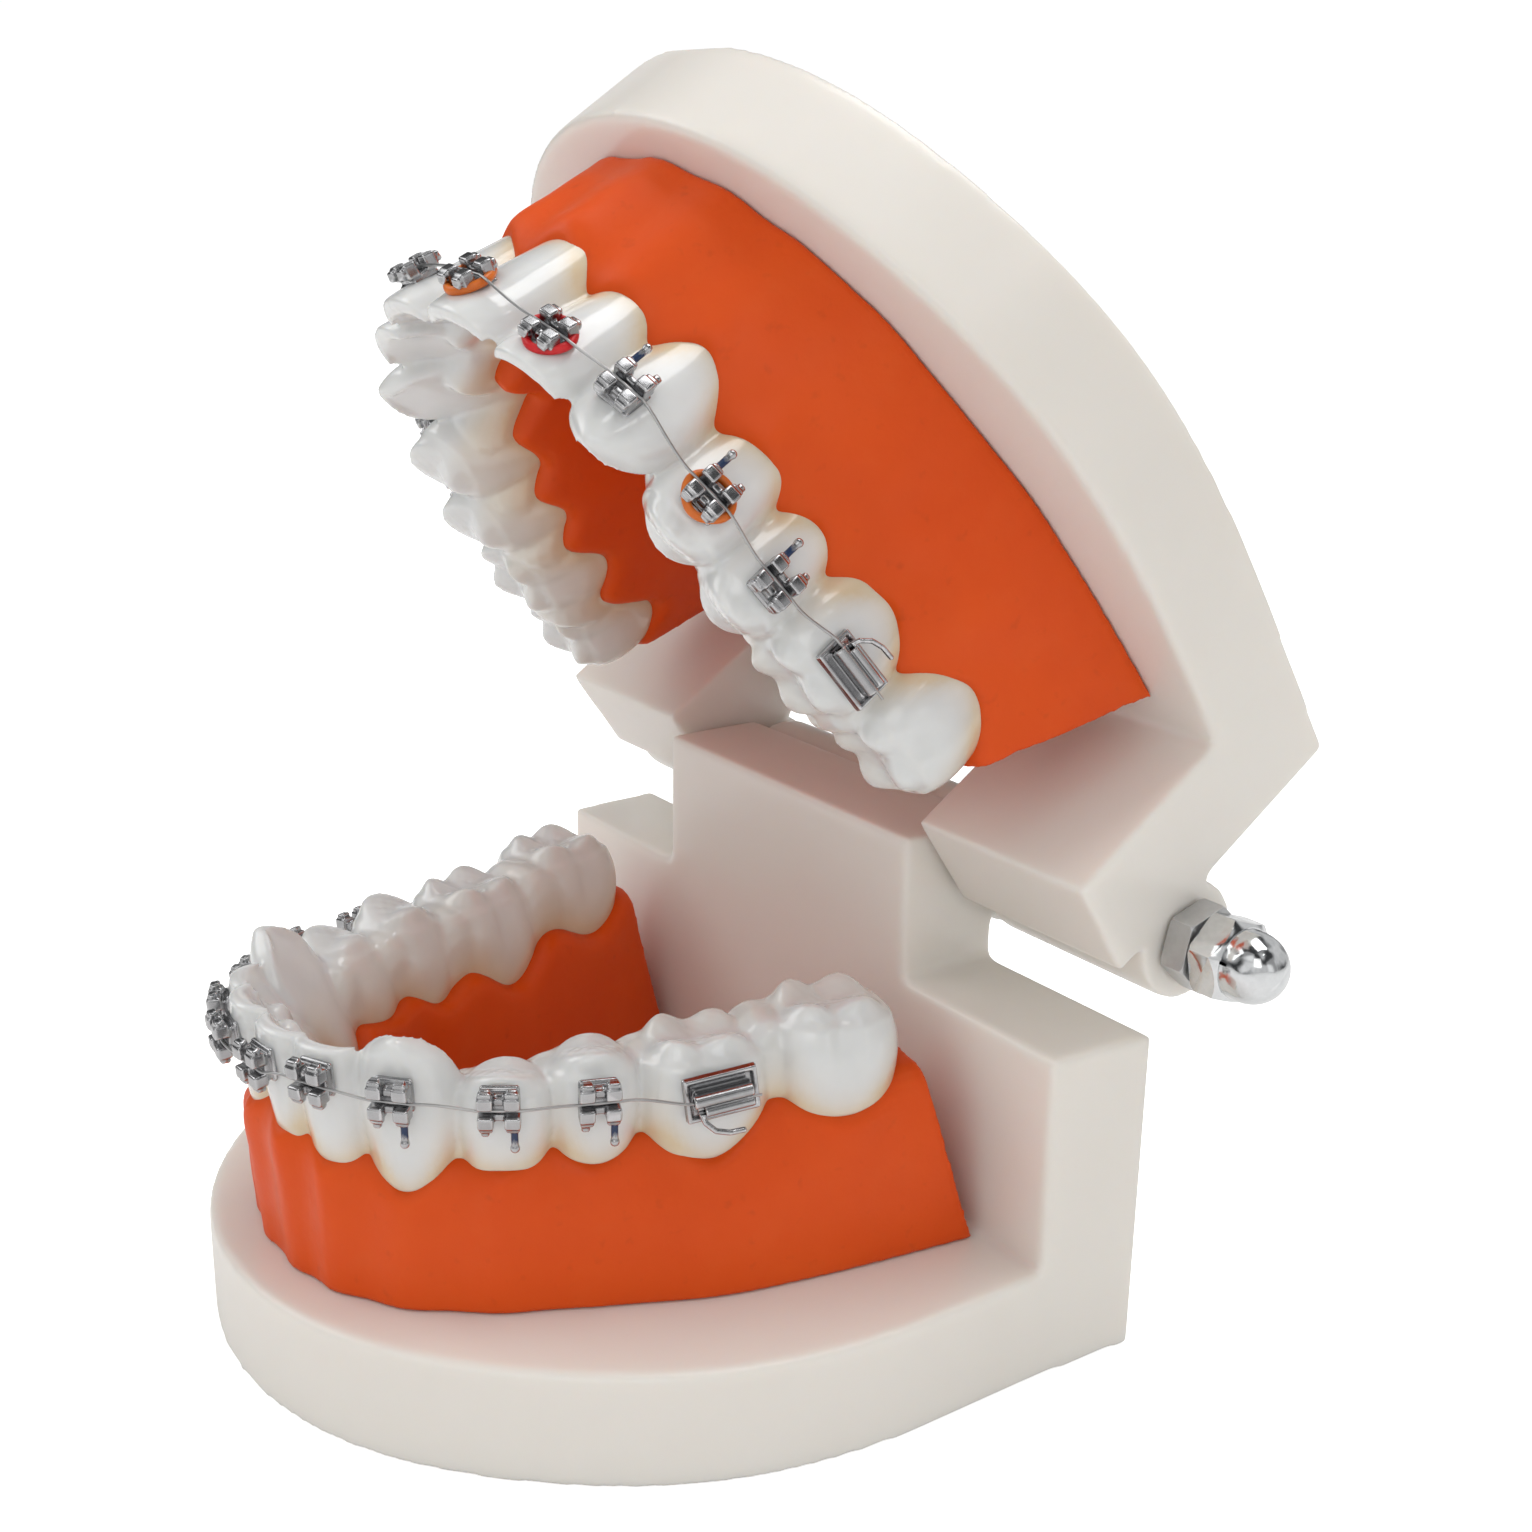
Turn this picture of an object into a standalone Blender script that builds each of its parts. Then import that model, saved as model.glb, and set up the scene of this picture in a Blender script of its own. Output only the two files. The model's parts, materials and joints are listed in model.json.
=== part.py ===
"""Hinged orthodontic teaching model of a small jaw pair, with brackets and archwires.

Metres, +Z up.  The origin is the centre of the lower base's bottom face.
+X is the model's left side, -Y is the front (the incisors), the hinge is at the back (+Y).
The lower jaw is fixed; the upper jaw turns about the hinge axis, which runs along X.
The upper jaw's pieces are modelled closed, in a frame whose origin is on that axis, and
hang on the empty "upper_jaw_pivot", which holds the opening angle of the rest pose.
"""
import bpy
import bmesh
import math
import numpy as np
from mathutils import Vector, Matrix

MM = 0.001

# ------------------------------------------------------------------ driving dimensions (mm)
HALF_WIDTH = 32.5          # half the width of both bases at the back
REAR_Y = 27.0              # rear face of the lower base
PLATE_T = 8.3              # lower plate thickness
WALL_T = 8.6               # lower back wall thickness
WALL_TOP = 24.4            # top of the lower back wall
POST_HALF = 15.7           # half the width of the hinge post
POST_TOP = 35.4            # top of the hinge post
AXIS_BACK = 2.9            # hinge axis behind the rear face
AXIS_Z = 30.8              # hinge axis above the bottom face
BOSS_R = 4.3               # hinge barrels
BORE_R = 1.8
ROD_R = 1.5
OPEN_DEG = 55.7            # opening in the rest pose

UP_REAR = -2.8             # upper base, in the frame on the axis: rear face
UP_WALL_T = 8.3
UP_WALL_END = -5.8         # free end of the upper wall
UP_TOP = 16.9              # outer face of the upper plate
UP_PLATE_T = 8.4
SLOT_HALF = 16.2           # slot in the upper wall that clears the post
SLOT_TOP = 5.3

# plate outlines: half width at a point near the back, then radii about a centre, side to front
LOWER_OUTLINE = (31.95, (31.75, 31.1, 30.9, 31.8, 32.3))
UPPER_OUTLINE = (33.0, (33.0, 32.9, 32.75, 33.7, 34.3))
OUTLINE_CENTRE = -22.0
OUTLINE_SIDE = -11.0
EDGE_R = 1.1

GAP = 0.3                  # assembly gap

# teeth of one half arch, midline to back: kind, x, y of the outer crown face, facing angle,
# width, depth, gum line height, tip height, flare (how far the tip stands out from the foot)
# heights and y: lower jaw from the bottom and rear faces; upper jaw from the hinge axis
LOWER_TEETH = (
    ("incisor", 2.7, -51.5, 7, 5.5, 5.6, 19.4, 26.8, 1.3),
    ("incisor", 6.7, -50.0, 25, 5.5, 5.8, 18.3, 26.8, 1.4),
    ("canine", 11.1, -46.5, 43, 7.2, 6.8, 16.8, 27.7, 2.0),
    ("premolar", 15.3, -41.3, 57, 6.5, 7.0, 18.7, 25.5, 1.8),
    ("premolar", 17.6, -35.6, 68, 6.5, 7.6, 18.5, 26.3, 1.4),
    ("molar", 20.45, -28.4, 73, 9.2, 9.0, 18.0, 26.4, 0.7),
    ("molar", 23.1, -19.5, 76, 9.2, 9.0, 19.7, 27.5, 0.0),
)
LOWER_PAPILLA = (20.7, 20.2, 18.9, 18.9, 19.6, 19.9, 21.2, 21.8)
LOWER_END = (25.3, -9.4)
LOWER_FOOT = (-0.5, -0.5, 0.0, 0.6, 0.5, 1.0, 1.5, 0.9, 0.2)
LOWER_END_SLOPE = 3.6      # how far the gum's end leans back from its margin to its foot

UPPER_TEETH = (
    ("incisor", 3.6, -56.2, 8, 7.3, 6.2, -0.8, -10.2, 2.1),
    ("incisor", 9.3, -52.8, 28, 6.6, 6.0, -1.5, -10.2, 2.5),
    ("canine", 13.85, -48.6, 44, 7.3, 6.9, -0.6, -11.0, 2.6),
    ("premolar", 17.3, -42.3, 58, 6.9, 7.4, -2.4, -11.2, 2.5),
    ("premolar", 19.25, -36.5, 67, 6.5, 7.8, -2.5, -11.2, 2.2),
    ("molar", 22.0, -30.2, 73, 8.6, 9.2, -2.2, -10.8, 1.2),
    ("molar", 24.6, -22.5, 76, 8.4, 9.2, -1.2, -9.6, 0.5),
)
UPPER_PAPILLA = (-2.6, -2.7, -3.0, -3.3, -3.9, -4.2, -4.3, -3.6)
UPPER_END = (27.0, -14.4)
UPPER_FOOT = (-0.4, -0.3, 0.9, 1.6, 3.2, 4.0, 4.0, 2.8, 0.8)
UPPER_END_SLOPE = 3.4

BRACKET_Z = {"lower": (24.2, 24.7, 24.4, 24.2, 23.9, 23.1), "upper": (-7.2, -7.3, -7.1, -7.8, -8.0, -7.3)}
FLARE = 1.7                # how late along its height a crown flares out
TOOTH_NAMES = ("central", "lateral", "canine", "premolar1", "premolar2", "molar1")
PAD_STANDOFF = 0.35        # room for the bonding layer between a crown and a bracket pad
WIRE_R = 0.2
WIRE_DEPTH = 1.35          # archwire centre above the back of a pad

JAM_T, JAM_AF = 2.0, 5.5
CAP_AF, CAP_HEX, CAP_LEN = 5.5, 2.4, 5.6


# ------------------------------------------------------------------ scene helpers
def clear_scene():
    for obj in list(bpy.data.objects):
        bpy.data.objects.remove(obj, do_unlink=True)


def collection(name, hidden=False):
    made = bpy.data.collections.new(name)
    bpy.context.scene.collection.children.link(made)
    made.hide_render = hidden
    return made


def material(name, colour, roughness=0.4, metallic=0.0):
    mat = bpy.data.materials.new(name)
    mat.use_nodes = True
    shader = mat.node_tree.nodes["Principled BSDF"]
    shader.inputs["Base Color"].default_value = (*colour, 1.0)
    shader.inputs["Roughness"].default_value = roughness
    shader.inputs["Metallic"].default_value = metallic
    mat.diffuse_color = (*colour, 1.0)
    return mat


def add_object(name, mesh, where, mat=None, parent=None):
    obj = bpy.data.objects.new(name, mesh)
    where.objects.link(obj)
    if mat:
        mesh.materials.append(mat) if not mesh.materials else None
    if parent:
        obj.parent = parent
    return obj


def helper(name, mesh):
    obj = add_object(name, mesh, CUTTERS)
    obj.hide_render = True
    obj.display_type = "WIRE"
    return obj


def mesh_from_bm(bm, name):
    bmesh.ops.recalc_face_normals(bm, faces=bm.faces)
    mesh = bpy.data.meshes.new(name)
    bm.to_mesh(mesh)
    bm.free()
    return mesh


def box_mesh(name, lo, hi):
    bm = bmesh.new()
    bmesh.ops.create_cube(bm, size=1.0)
    for v in bm.verts:
        v.co = Vector([(lo[i] + hi[i]) / 2 + v.co[i] * (hi[i] - lo[i]) for i in range(3)]) * MM
    return mesh_from_bm(bm, name)


def x_cylinder(name, radius, x0, x1, y, z, segments=24):
    bm = bmesh.new()
    bmesh.ops.create_cone(bm, cap_ends=True, segments=segments, radius1=radius * MM,
                          radius2=radius * MM, depth=(x1 - x0) * MM)
    turn = Matrix.Rotation(math.pi / 2, 4, "Y")
    place = Matrix.Translation(Vector(((x0 + x1) / 2, y, z)) * MM)
    bmesh.ops.transform(bm, matrix=place @ turn, verts=bm.verts)
    return mesh_from_bm(bm, name)


def evaluated_mesh(obj, name):
    bpy.context.view_layer.update()
    graph = bpy.context.evaluated_depsgraph_get()
    mesh = bpy.data.meshes.new_from_object(obj.evaluated_get(graph))
    mesh.name = name
    return mesh


def boolean(obj, other, operation):
    mod = obj.modifiers.new(other.name, "BOOLEAN")
    mod.operation = operation
    mod.solver = "EXACT"
    mod.object = other
    return mod


def combined(name, mesh, steps):
    """The mesh after a chain of exact Booleans; steps are (operation, mesh)."""
    obj = helper(name + "_stock", mesh)
    tools = []
    for i, (operation, other) in enumerate(steps):
        tool = helper(f"{name}_tool{i}", other)
        tools.append(tool)
        boolean(obj, tool, operation)
    result = evaluated_mesh(obj, name)
    for tool in tools + [obj]:
        bpy.data.objects.remove(tool, do_unlink=True)
    return result


def bevel_convex(mesh, width, segments=2, min_angle=40.0, keep=None):
    """Rounds the convex edges; keep(edge middle in mm) leaves an edge sharp."""
    bm = bmesh.new()
    bm.from_mesh(mesh)
    bmesh.ops.dissolve_limit(bm, angle_limit=math.radians(0.5), verts=bm.verts, edges=bm.edges)
    edges = []
    for e in bm.edges:
        if not e.is_manifold or not e.is_convex:
            continue
        if e.calc_face_angle(0.0) < math.radians(min_angle):
            continue
        mid = (e.verts[0].co + e.verts[1].co) / 2 / MM
        if keep and keep(mid):
            continue
        edges.append(e)
    bmesh.ops.bevel(bm, geom=edges, offset=width * MM, segments=segments, profile=0.5,
                    affect="EDGES", clamp_overlap=True)
    bmesh.ops.remove_doubles(bm, verts=bm.verts, dist=0.03 * MM)
    bmesh.ops.dissolve_degenerate(bm, edges=bm.edges, dist=0.01 * MM)
    bmesh.ops.triangulate(bm, faces=bm.faces)
    return mesh_from_bm(bm, mesh.name)


def smooth(mesh, angle=35.0):
    mesh.shade_smooth()
    mesh.set_sharp_from_angle(angle=math.radians(angle))


# ------------------------------------------------------------------ curves through given points
def natural_spline(knots, values):
    """Coefficients of the natural cubic spline through values (n x k) at knots."""
    knots = np.asarray(knots, float)
    values = np.asarray(values, float)
    if values.ndim == 1:
        values = values[:, None]
    n = len(knots)
    h = np.diff(knots)
    system = np.zeros((n, n))
    right = np.zeros((n, values.shape[1]))
    system[0, 0] = system[-1, -1] = 1.0
    for i in range(1, n - 1):
        system[i, i - 1:i + 2] = h[i - 1], 2 * (h[i - 1] + h[i]), h[i]
        right[i] = 6 * ((values[i + 1] - values[i]) / h[i] - (values[i] - values[i - 1]) / h[i - 1])
    second = np.linalg.solve(system, right)

    def at(s):
        s = np.atleast_1d(np.asarray(s, float))
        i = np.clip(np.searchsorted(knots, s) - 1, 0, n - 2)
        t0, t1 = (knots[i + 1] - s)[:, None], (s - knots[i])[:, None]
        hi = h[i][:, None]
        return (second[i] * t0 ** 3 + second[i + 1] * t1 ** 3) / (6 * hi) \
            + (values[i] / hi - second[i] * hi / 6) * t0 + (values[i + 1] / hi - second[i + 1] * hi / 6) * t1
    return at


def d_outline(shape, samples):
    """The plate's outline from the back left corner round the front to the back right, rear at y = 0."""
    side, radii = shape
    half = [(HALF_WIDTH, 0.0), (side, OUTLINE_SIDE)]
    for r, deg in zip(radii, (0, 22.5, 45, 67.5, 90)):
        a = math.radians(deg)
        half.append((r * math.cos(a), OUTLINE_CENTRE - r * math.sin(a)))
    full = np.array(half + [(-x, y) for x, y in half[-2::-1]])
    knots = np.concatenate([[0], np.cumsum(np.linalg.norm(np.diff(full, axis=0), axis=1))])
    return natural_spline(knots, full)(np.linspace(0, knots[-1], samples))


def extruded_outline(name, points, z0, z1):
    """A flat outline as a filled 2D curve, extruded from z0 to z1 and made a mesh."""
    curve = bpy.data.curves.new(name, "CURVE")
    curve.dimensions = "2D"
    curve.fill_mode = "BOTH"
    curve.extrude = (z1 - z0) / 2 * MM
    spline = curve.splines.new("POLY")
    spline.points.add(len(points) - 1)
    for p, (x, y) in zip(spline.points, points):
        p.co = (x * MM, y * MM, 0, 1)
    spline.use_cyclic_u = True
    obj = helper(name + "_curve", curve)
    mesh = evaluated_mesh(obj, name)
    bpy.data.objects.remove(obj, do_unlink=True)
    bm = bmesh.new()
    bm.from_mesh(mesh)
    bmesh.ops.remove_doubles(bm, verts=bm.verts, dist=0.00001)
    bmesh.ops.translate(bm, vec=(0, 0, (z0 + z1) / 2 * MM), verts=bm.verts)
    bmesh.ops.dissolve_limit(bm, angle_limit=math.radians(0.5), verts=bm.verts, edges=bm.edges)
    return mesh_from_bm(bm, name)


# ------------------------------------------------------------------ bases
def lower_base_mesh():
    pts = d_outline(LOWER_OUTLINE, 31) + [0, REAR_Y]
    block = extruded_outline("lower_block", pts, 0, POST_TOP)
    far, front = 60.0, REAR_Y - WALL_T
    body = combined("lower_body", block, [
        ("DIFFERENCE", box_mesh("front", (-far, -far, PLATE_T), (far, front, far))),
        ("DIFFERENCE", box_mesh("ear_a", (POST_HALF, -far, WALL_TOP), (far, far, far))),
        ("DIFFERENCE", box_mesh("ear_b", (-far, -far, WALL_TOP), (-POST_HALF, far, far))),
    ])
    body = bevel_convex(body, EDGE_R)
    axis_y = REAR_Y + AXIS_BACK
    body = combined("lower_base", body, [
        ("UNION", x_cylinder("barrel", BOSS_R, -POST_HALF + 0.2, POST_HALF - 0.2, axis_y, AXIS_Z)),
        ("DIFFERENCE", x_cylinder("bore", BORE_R, -far, far, axis_y, AXIS_Z, 16)),
    ])
    smooth(body)
    return body


def upper_base_mesh():
    pts = d_outline(UPPER_OUTLINE, 31) + [0, UP_REAR]
    block = extruded_outline("upper_block", pts, UP_WALL_END, UP_TOP)
    far, front = 70.0, UP_REAR - UP_WALL_T
    body = combined("upper_body", block, [
        ("DIFFERENCE", box_mesh("front", (-far, -far, -far), (far, front, UP_TOP - UP_PLATE_T))),
        ("DIFFERENCE", box_mesh("slot", (-SLOT_HALF, -far, -far), (SLOT_HALF, far, SLOT_TOP))),
    ])
    body = bevel_convex(body, EDGE_R)
    body = combined("upper_base", body, [
        ("UNION", x_cylinder("barrel_a", BOSS_R, SLOT_HALF + 0.25, HALF_WIDTH - 0.2, 0, 0)),
        ("UNION", x_cylinder("barrel_b", BOSS_R, -HALF_WIDTH + 0.2, -SLOT_HALF - 0.25, 0, 0)),
        ("DIFFERENCE", x_cylinder("bore", BORE_R, -far, far, 0, 0, 16)),
    ])
    smooth(body)
    return body


# ------------------------------------------------------------------ arches
class Arch:
    """One jaw's arch: the outer crown faces joined by a smooth curve from one end to the other.

    sign is +1 where the teeth point up (lower jaw) and -1 where they point down (upper jaw).
    """

    def __init__(self, teeth, end, foot, papilla, sign, y_shift):
        self.teeth, self.sign, self.y_shift = teeth, sign, y_shift
        half = [(t[1], t[2], t[3]) for t in teeth] + [(end[0], end[1], 90.0)]
        pts = [(-x, y, -a) for x, y, a in half[::-1]] + [(x, y, a) for x, y, a in half]
        xy = np.array([p[:2] for p in pts])
        self.s = np.concatenate([[0], np.cumsum(np.linalg.norm(np.diff(xy, axis=0), axis=1))])
        self.s -= self.s[-1] / 2
        self.curve = natural_spline(self.s, np.array(pts, float))
        count = len(teeth)
        self.tooth_s = list(self.s[-count - 1:-1])          # one side
        depth = [t[5] for t in teeth] + [teeth[-1][5] * 0.8]
        self.depth = natural_spline(self.s, np.array(depth[::-1] + depth))
        foot = list(foot)
        self.foot = natural_spline(self.s, np.array(foot[:0:-1] + foot[1:]))
        knots, values = [], []
        stations = [0.0] + self.tooth_s + [self.s[-1]]
        for i in range(len(stations) - 1):
            if i > 0:
                knots.append(stations[i])
                values.append(teeth[i - 1][6])
            mid = (stations[i] + stations[i + 1]) / 2 if i else 0.0
            knots.append(mid if i < len(stations) - 2 else stations[i] + (stations[i + 1] - stations[i]) * 0.55)
            values.append(papilla[min(i, len(papilla) - 1)])
        self.margin_knots = np.array(knots)
        self.margin_values = np.array(values)

    def frame(self, s):
        """Point on the outer face, outward normal and direction along the arch."""
        x, y, a = self.curve([s])[0]
        a = math.radians(a)
        return (Vector((x, y + self.y_shift, 0)), Vector((math.sin(a), -math.cos(a), 0)),
                Vector((math.cos(a), math.sin(a), 0)))

    def margin(self, s):
        """Gum line height: low at each tooth's middle and high between teeth."""
        s = abs(s)
        k, v = self.margin_knots, self.margin_values
        i = int(np.clip(np.searchsorted(k, s) - 1, 0, len(k) - 2))
        t = min(max((s - k[i]) / (k[i + 1] - k[i]), 0.0), 1.0)
        return v[i] + (v[i + 1] - v[i]) * (1 - math.cos(math.pi * t)) / 2

    def scallop(self, s):
        """1 at a tooth's middle, 0 between teeth."""
        s = abs(s)
        k = self.margin_knots
        i = int(np.clip(np.searchsorted(k, s) - 1, 0, len(k) - 2))
        t = min(max((s - k[i]) / (k[i + 1] - k[i]), 0.0), 1.0)
        on_tooth = i % 2                                   # knots alternate papilla, tooth, papilla
        u = (1 - math.cos(math.pi * t)) / 2
        return 1 - u if on_tooth else u


def superellipse(angle, a, front, back, power):
    c, s = math.cos(angle), math.sin(angle)
    m = a * math.copysign(abs(c) ** (2 / power), c)
    f = (front if s > 0 else back) * math.copysign(abs(s) ** (2 / power), s)
    return m, f


# crown sections: height fraction, half width, outer reach, inner reach (shares of width and depth)
SECTIONS = {
    "incisor": ((-0.30, .40, .38, .38), (0.0, .43, .46, .46), (.28, .48, .50, .40), (.58, .52, .47, .18),
                (.85, .53, .40, -.06), (1.0, .44, .32, -.14)),
    "canine": ((-0.25, .40, .40, .40), (0.0, .43, .46, .46), (.28, .49, .50, .42), (.58, .53, .47, .26),
               (.82, .40, .38, .06), (1.0, .13, .26, -.12)),
    "premolar": ((-0.32, .42, .42, .42), (0.0, .46, .46, .46), (.40, .52, .50, .50), (.70, .50, .44, .44)),
    "molar": ((-0.34, .43, .43, .43), (0.0, .47, .46, .46), (.40, .52, .50, .50), (.70, .49, .45, .45)),
}
POWER = {"incisor": 2.3, "canine": 2.2, "premolar": 2.4, "molar": 2.9}
CUSPS = {
    "premolar": ((0.0, .24, 1.0, .26), (0.0, -.26, .80, .24)),
    "molar": ((-.25, .25, .95, .22), (.25, .25, .90, .22), (-.25, -.25, 1.0, .22), (.25, -.25, .88, .22)),
}


def crown_height(kind, m, f, width, depth):
    """Share of the crown height at a point of the chewing face."""
    top = 0.0
    for cm, cf, amount, reach in CUSPS[kind]:
        d2 = ((m / width - cm) / reach) ** 2 + ((f / depth - cf) / reach) ** 2
        top = max(top, amount * math.exp(-d2 * 0.9))
    return 0.72 + 0.28 * top


def tooth_bm(bm, spec, place, sign, around, grow=0.0):
    """One tooth as rings from the root end to the tip, added to bm.  place(m, f, z) gives the point."""
    kind, width, depth, gum, tip, flare = spec
    high = abs(tip - gum)
    rings = []

    def ring(share, a, front, back, drop=0.0, height=None):
        verts = []
        for j in range(around):
            m, f = superellipse(2 * math.pi * (j + 0.5) / around, a * width + grow, front * depth + grow,
                                back * depth + grow, POWER[kind])
            k = height(m, f) if height else share
            z = gum + sign * high * k
            if share < -0.01:
                z -= sign * grow
            if share > 0.99:
                z += sign * grow
            verts.append(bm.verts.new(place(m, f + flare * max(k, 0.0) ** FLARE, z)))
        rings.append(verts)

    for share, a, front, back in SECTIONS[kind]:
        ring(share, a, front, back)
    if kind in CUSPS:
        _, a, front, back = SECTIONS[kind][-1]
        def top(m, f):
            return crown_height(kind, m, f, width, depth)
        ring(.9, a * 0.80, front * 0.80, back * 0.80, height=top)
        ring(.9, a * 0.42, front * 0.42, back * 0.42, height=top)
        middle = place(0, flare * 0.75, gum + sign * high * (crown_height(kind, 0, 0, width, depth) - 0.02))
    else:
        _, a, front, back = SECTIONS[kind][-1]
        middle = place(0, (front - back) / 2 * depth + flare * 1.02, tip + sign * (0.12 + grow))
    for lower, upper in zip(rings, rings[1:]):
        for j in range(around):
            k = (j + 1) % around
            bm.faces.new((lower[j], lower[k], upper[k], upper[j]))
    apex = bm.verts.new(middle)
    for j in range(around):
        bm.faces.new((rings[-1][j], rings[-1][(j + 1) % around], apex))
    bm.faces.new(rings[0][::-1])


def teeth_mesh(name, arch, around=10, grow=0.0):
    """All the crowns of one arch as one piece."""
    pieces = []
    for side in (-1, 1):
        for i, (kind, x, y, angle, width, depth, gum, tip, flare) in enumerate(arch.teeth):
            a = math.radians(angle * side)
            n = Vector((math.sin(a), -math.cos(a), 0))
            t = Vector((math.cos(a), math.sin(a), 0))
            centre = Vector((x * side, y + arch.y_shift, 0)) - n * (depth * 0.5)

            def place(m, f, z, centre=centre, n=n, t=t):
                return (centre + t * m + n * f + Vector((0, 0, z))) * MM
            bm = bmesh.new()
            tooth_bm(bm, (kind, width, depth, gum, tip, flare), place, arch.sign, around, grow)
            bmesh.ops.triangulate(bm, faces=bm.faces)
            pieces.append(mesh_from_bm(bm, f"{name}_{side}_{i}"))
    order = pieces[6::-1] + pieces[7:]
    mesh = combined(name, order[0], [("UNION", m) for m in order[1:]])
    mesh.name = name
    smooth(mesh, 60)
    return mesh


def gum_mesh(name, arch, floor_z, slope, cutter, palate=None):
    """A horseshoe lofted along the arch, with the crowns' sockets cut in it; its ends lean back by slope."""
    sign = arch.sign
    last = float(arch.s[-1]) - slope
    count = int(2 * last * 0.44) | 1
    bm = bmesh.new()
    rings = []
    for s in np.linspace(-last, last, count):
        depth = float(arch.depth([s])[0, 0])
        foot = float(arch.foot([s])[0, 0])
        margin = arch.margin(s)
        bulge = arch.scallop(s)
        lean = math.copysign(slope, s) * max(0.0, 1 - (last - abs(s)) / 9.0)
        rim = -0.9 + 1.25 * bulge                          # the margin dips in between teeth
        inner = -(depth + 0.7 + 0.5 * bulge)
        mid = floor_z + (margin - floor_z) * 0.5
        section = (
            (foot, floor_z, 1.0),
            (foot * 0.55 + 0.15 + 0.35 * bulge, mid, 0.4),
            (rim - 0.1, margin - sign * 0.3, 0.0),
            (-depth * 0.5, margin + sign * 0.4, 0.0),
            (inner, margin - sign * 0.4, 0.0),
            (-(depth + 2.2), floor_z, 1.0),
        )
        ring = []
        for out, z, leaning in section:
            p, n, t = arch.frame(s + lean * leaning)
            ring.append(bm.verts.new((p + n * out + Vector((0, 0, z))) * MM))
        rings.append(ring)
    for a, b in zip(rings, rings[1:]):
        for j in range(len(a)):
            k = (j + 1) % len(a)
            bm.faces.new((a[j], a[k], b[k], b[j]))
    bm.faces.new(rings[0])
    bm.faces.new(rings[-1][::-1])
    bmesh.ops.triangulate(bm, faces=bm.faces)
    raw = mesh_from_bm(bm, name + "_raw")
    steps = [("UNION", palate)] if palate else []
    mesh = combined(name, raw, steps + [("DIFFERENCE", cutter)])
    smooth(mesh, 60)
    return mesh


def palate_mesh(arch, floor_z):
    """The roof of the mouth: a plate that fills the inside of the upper arch, hollowed as a vault."""
    pts = []
    for s in np.linspace(arch.s[0] + 0.6, arch.s[-1] - 0.6, 25):
        p, n, t = arch.frame(s)
        depth = float(arch.depth([s])[0, 0])
        q = p - n * (depth + 1.4)
        pts.append((q.x, q.y))
    bm = bmesh.new()
    levels = ((1.0, 0.0), (0.94, -4.2), (0.74, -3.3), (0.42, -2.4))
    centre = np.array((0.0, np.mean([p[1] for p in pts]) + 8.0))
    rings = []
    rear = pts[0][1]
    for share, drop in levels:
        row = []
        for x, y in pts:
            q = np.array((x, y))
            q = centre + (q - centre) * share
            q[1] = rear - 0.0 if abs(y - rear) < 0.01 else q[1]
            row.append(bm.verts.new(Vector((q[0], min(q[1], rear), floor_z + drop)) * MM))
        rings.append(row)
    for a, b in zip(rings, rings[1:]):
        for j in range(len(a) - 1):
            bm.faces.new((a[j], a[j + 1], b[j + 1], b[j]))
        bm.faces.new((a[-1], a[0], b[0], b[-1]))
    bm.faces.new(rings[0])
    bm.faces.new(rings[-1][::-1])
    bmesh.ops.triangulate(bm, faces=bm.faces)
    return mesh_from_bm(bm, "palate")


# ------------------------------------------------------------------ brackets, tubes, wires, rings
def bracket_mesh(name, hook=0):
    """Local X along the arch, Y out of the crown from the pad's back, Z towards the tooth's tip.

    hook is -1 or +1 for the side that carries the hook, 0 for none.
    """
    side = [(0, -1.3), (0.4, -1.3), (0.4, -0.75), (0.9, -0.75), (0.9, -1.4), (1.5, -1.4), (1.8, -1.1),
            (1.8, -0.32), (1.05, -0.32), (1.05, 0.32), (1.8, 0.32), (1.8, 1.1), (1.5, 1.4), (0.9, 1.4),
            (0.9, 0.75), (0.4, 0.75), (0.4, 1.3), (0, 1.3)]
    block = extruded_outline(name, side, -1.4, 1.4)
    # the outline lies in its XY plane: turn (x, y, z) into (z, x, y)
    block.transform(Matrix(((0, 0, 1, 0), (1, 0, 0, 0), (0, 1, 0, 0), (0, 0, 0, 1))))
    steps = [("DIFFERENCE", box_mesh("channel", (-0.4, 1.05 - 0.12, -3), (0.4, 3, 3)))]
    if hook:
        x = 0.9 * hook
        steps.append(("UNION", box_mesh("hook", (x - 0.2, 1.15, -2.75), (x + 0.2, 1.5, -1.0))))
    return combined(name, block, steps)


def tube_mesh(name, hook):
    block = box_mesh("pad", (-2.05, 0, -1.4), (2.05, 0.42, 1.4))
    steps = [
        ("UNION", box_mesh("body", (-1.7, 0.2, -0.85), (1.7, 2.0, 0.85))),
        ("UNION", box_mesh("hook", (1.1 * hook - 0.2, 1.2, -2.1), (1.1 * hook + 0.2, 1.6, -0.5))),
        ("DIFFERENCE", box_mesh("bore", (-3, WIRE_DEPTH - 0.4, -0.4), (3, WIRE_DEPTH + 0.4, 0.4))),
    ]
    return combined(name, block, steps)


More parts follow.
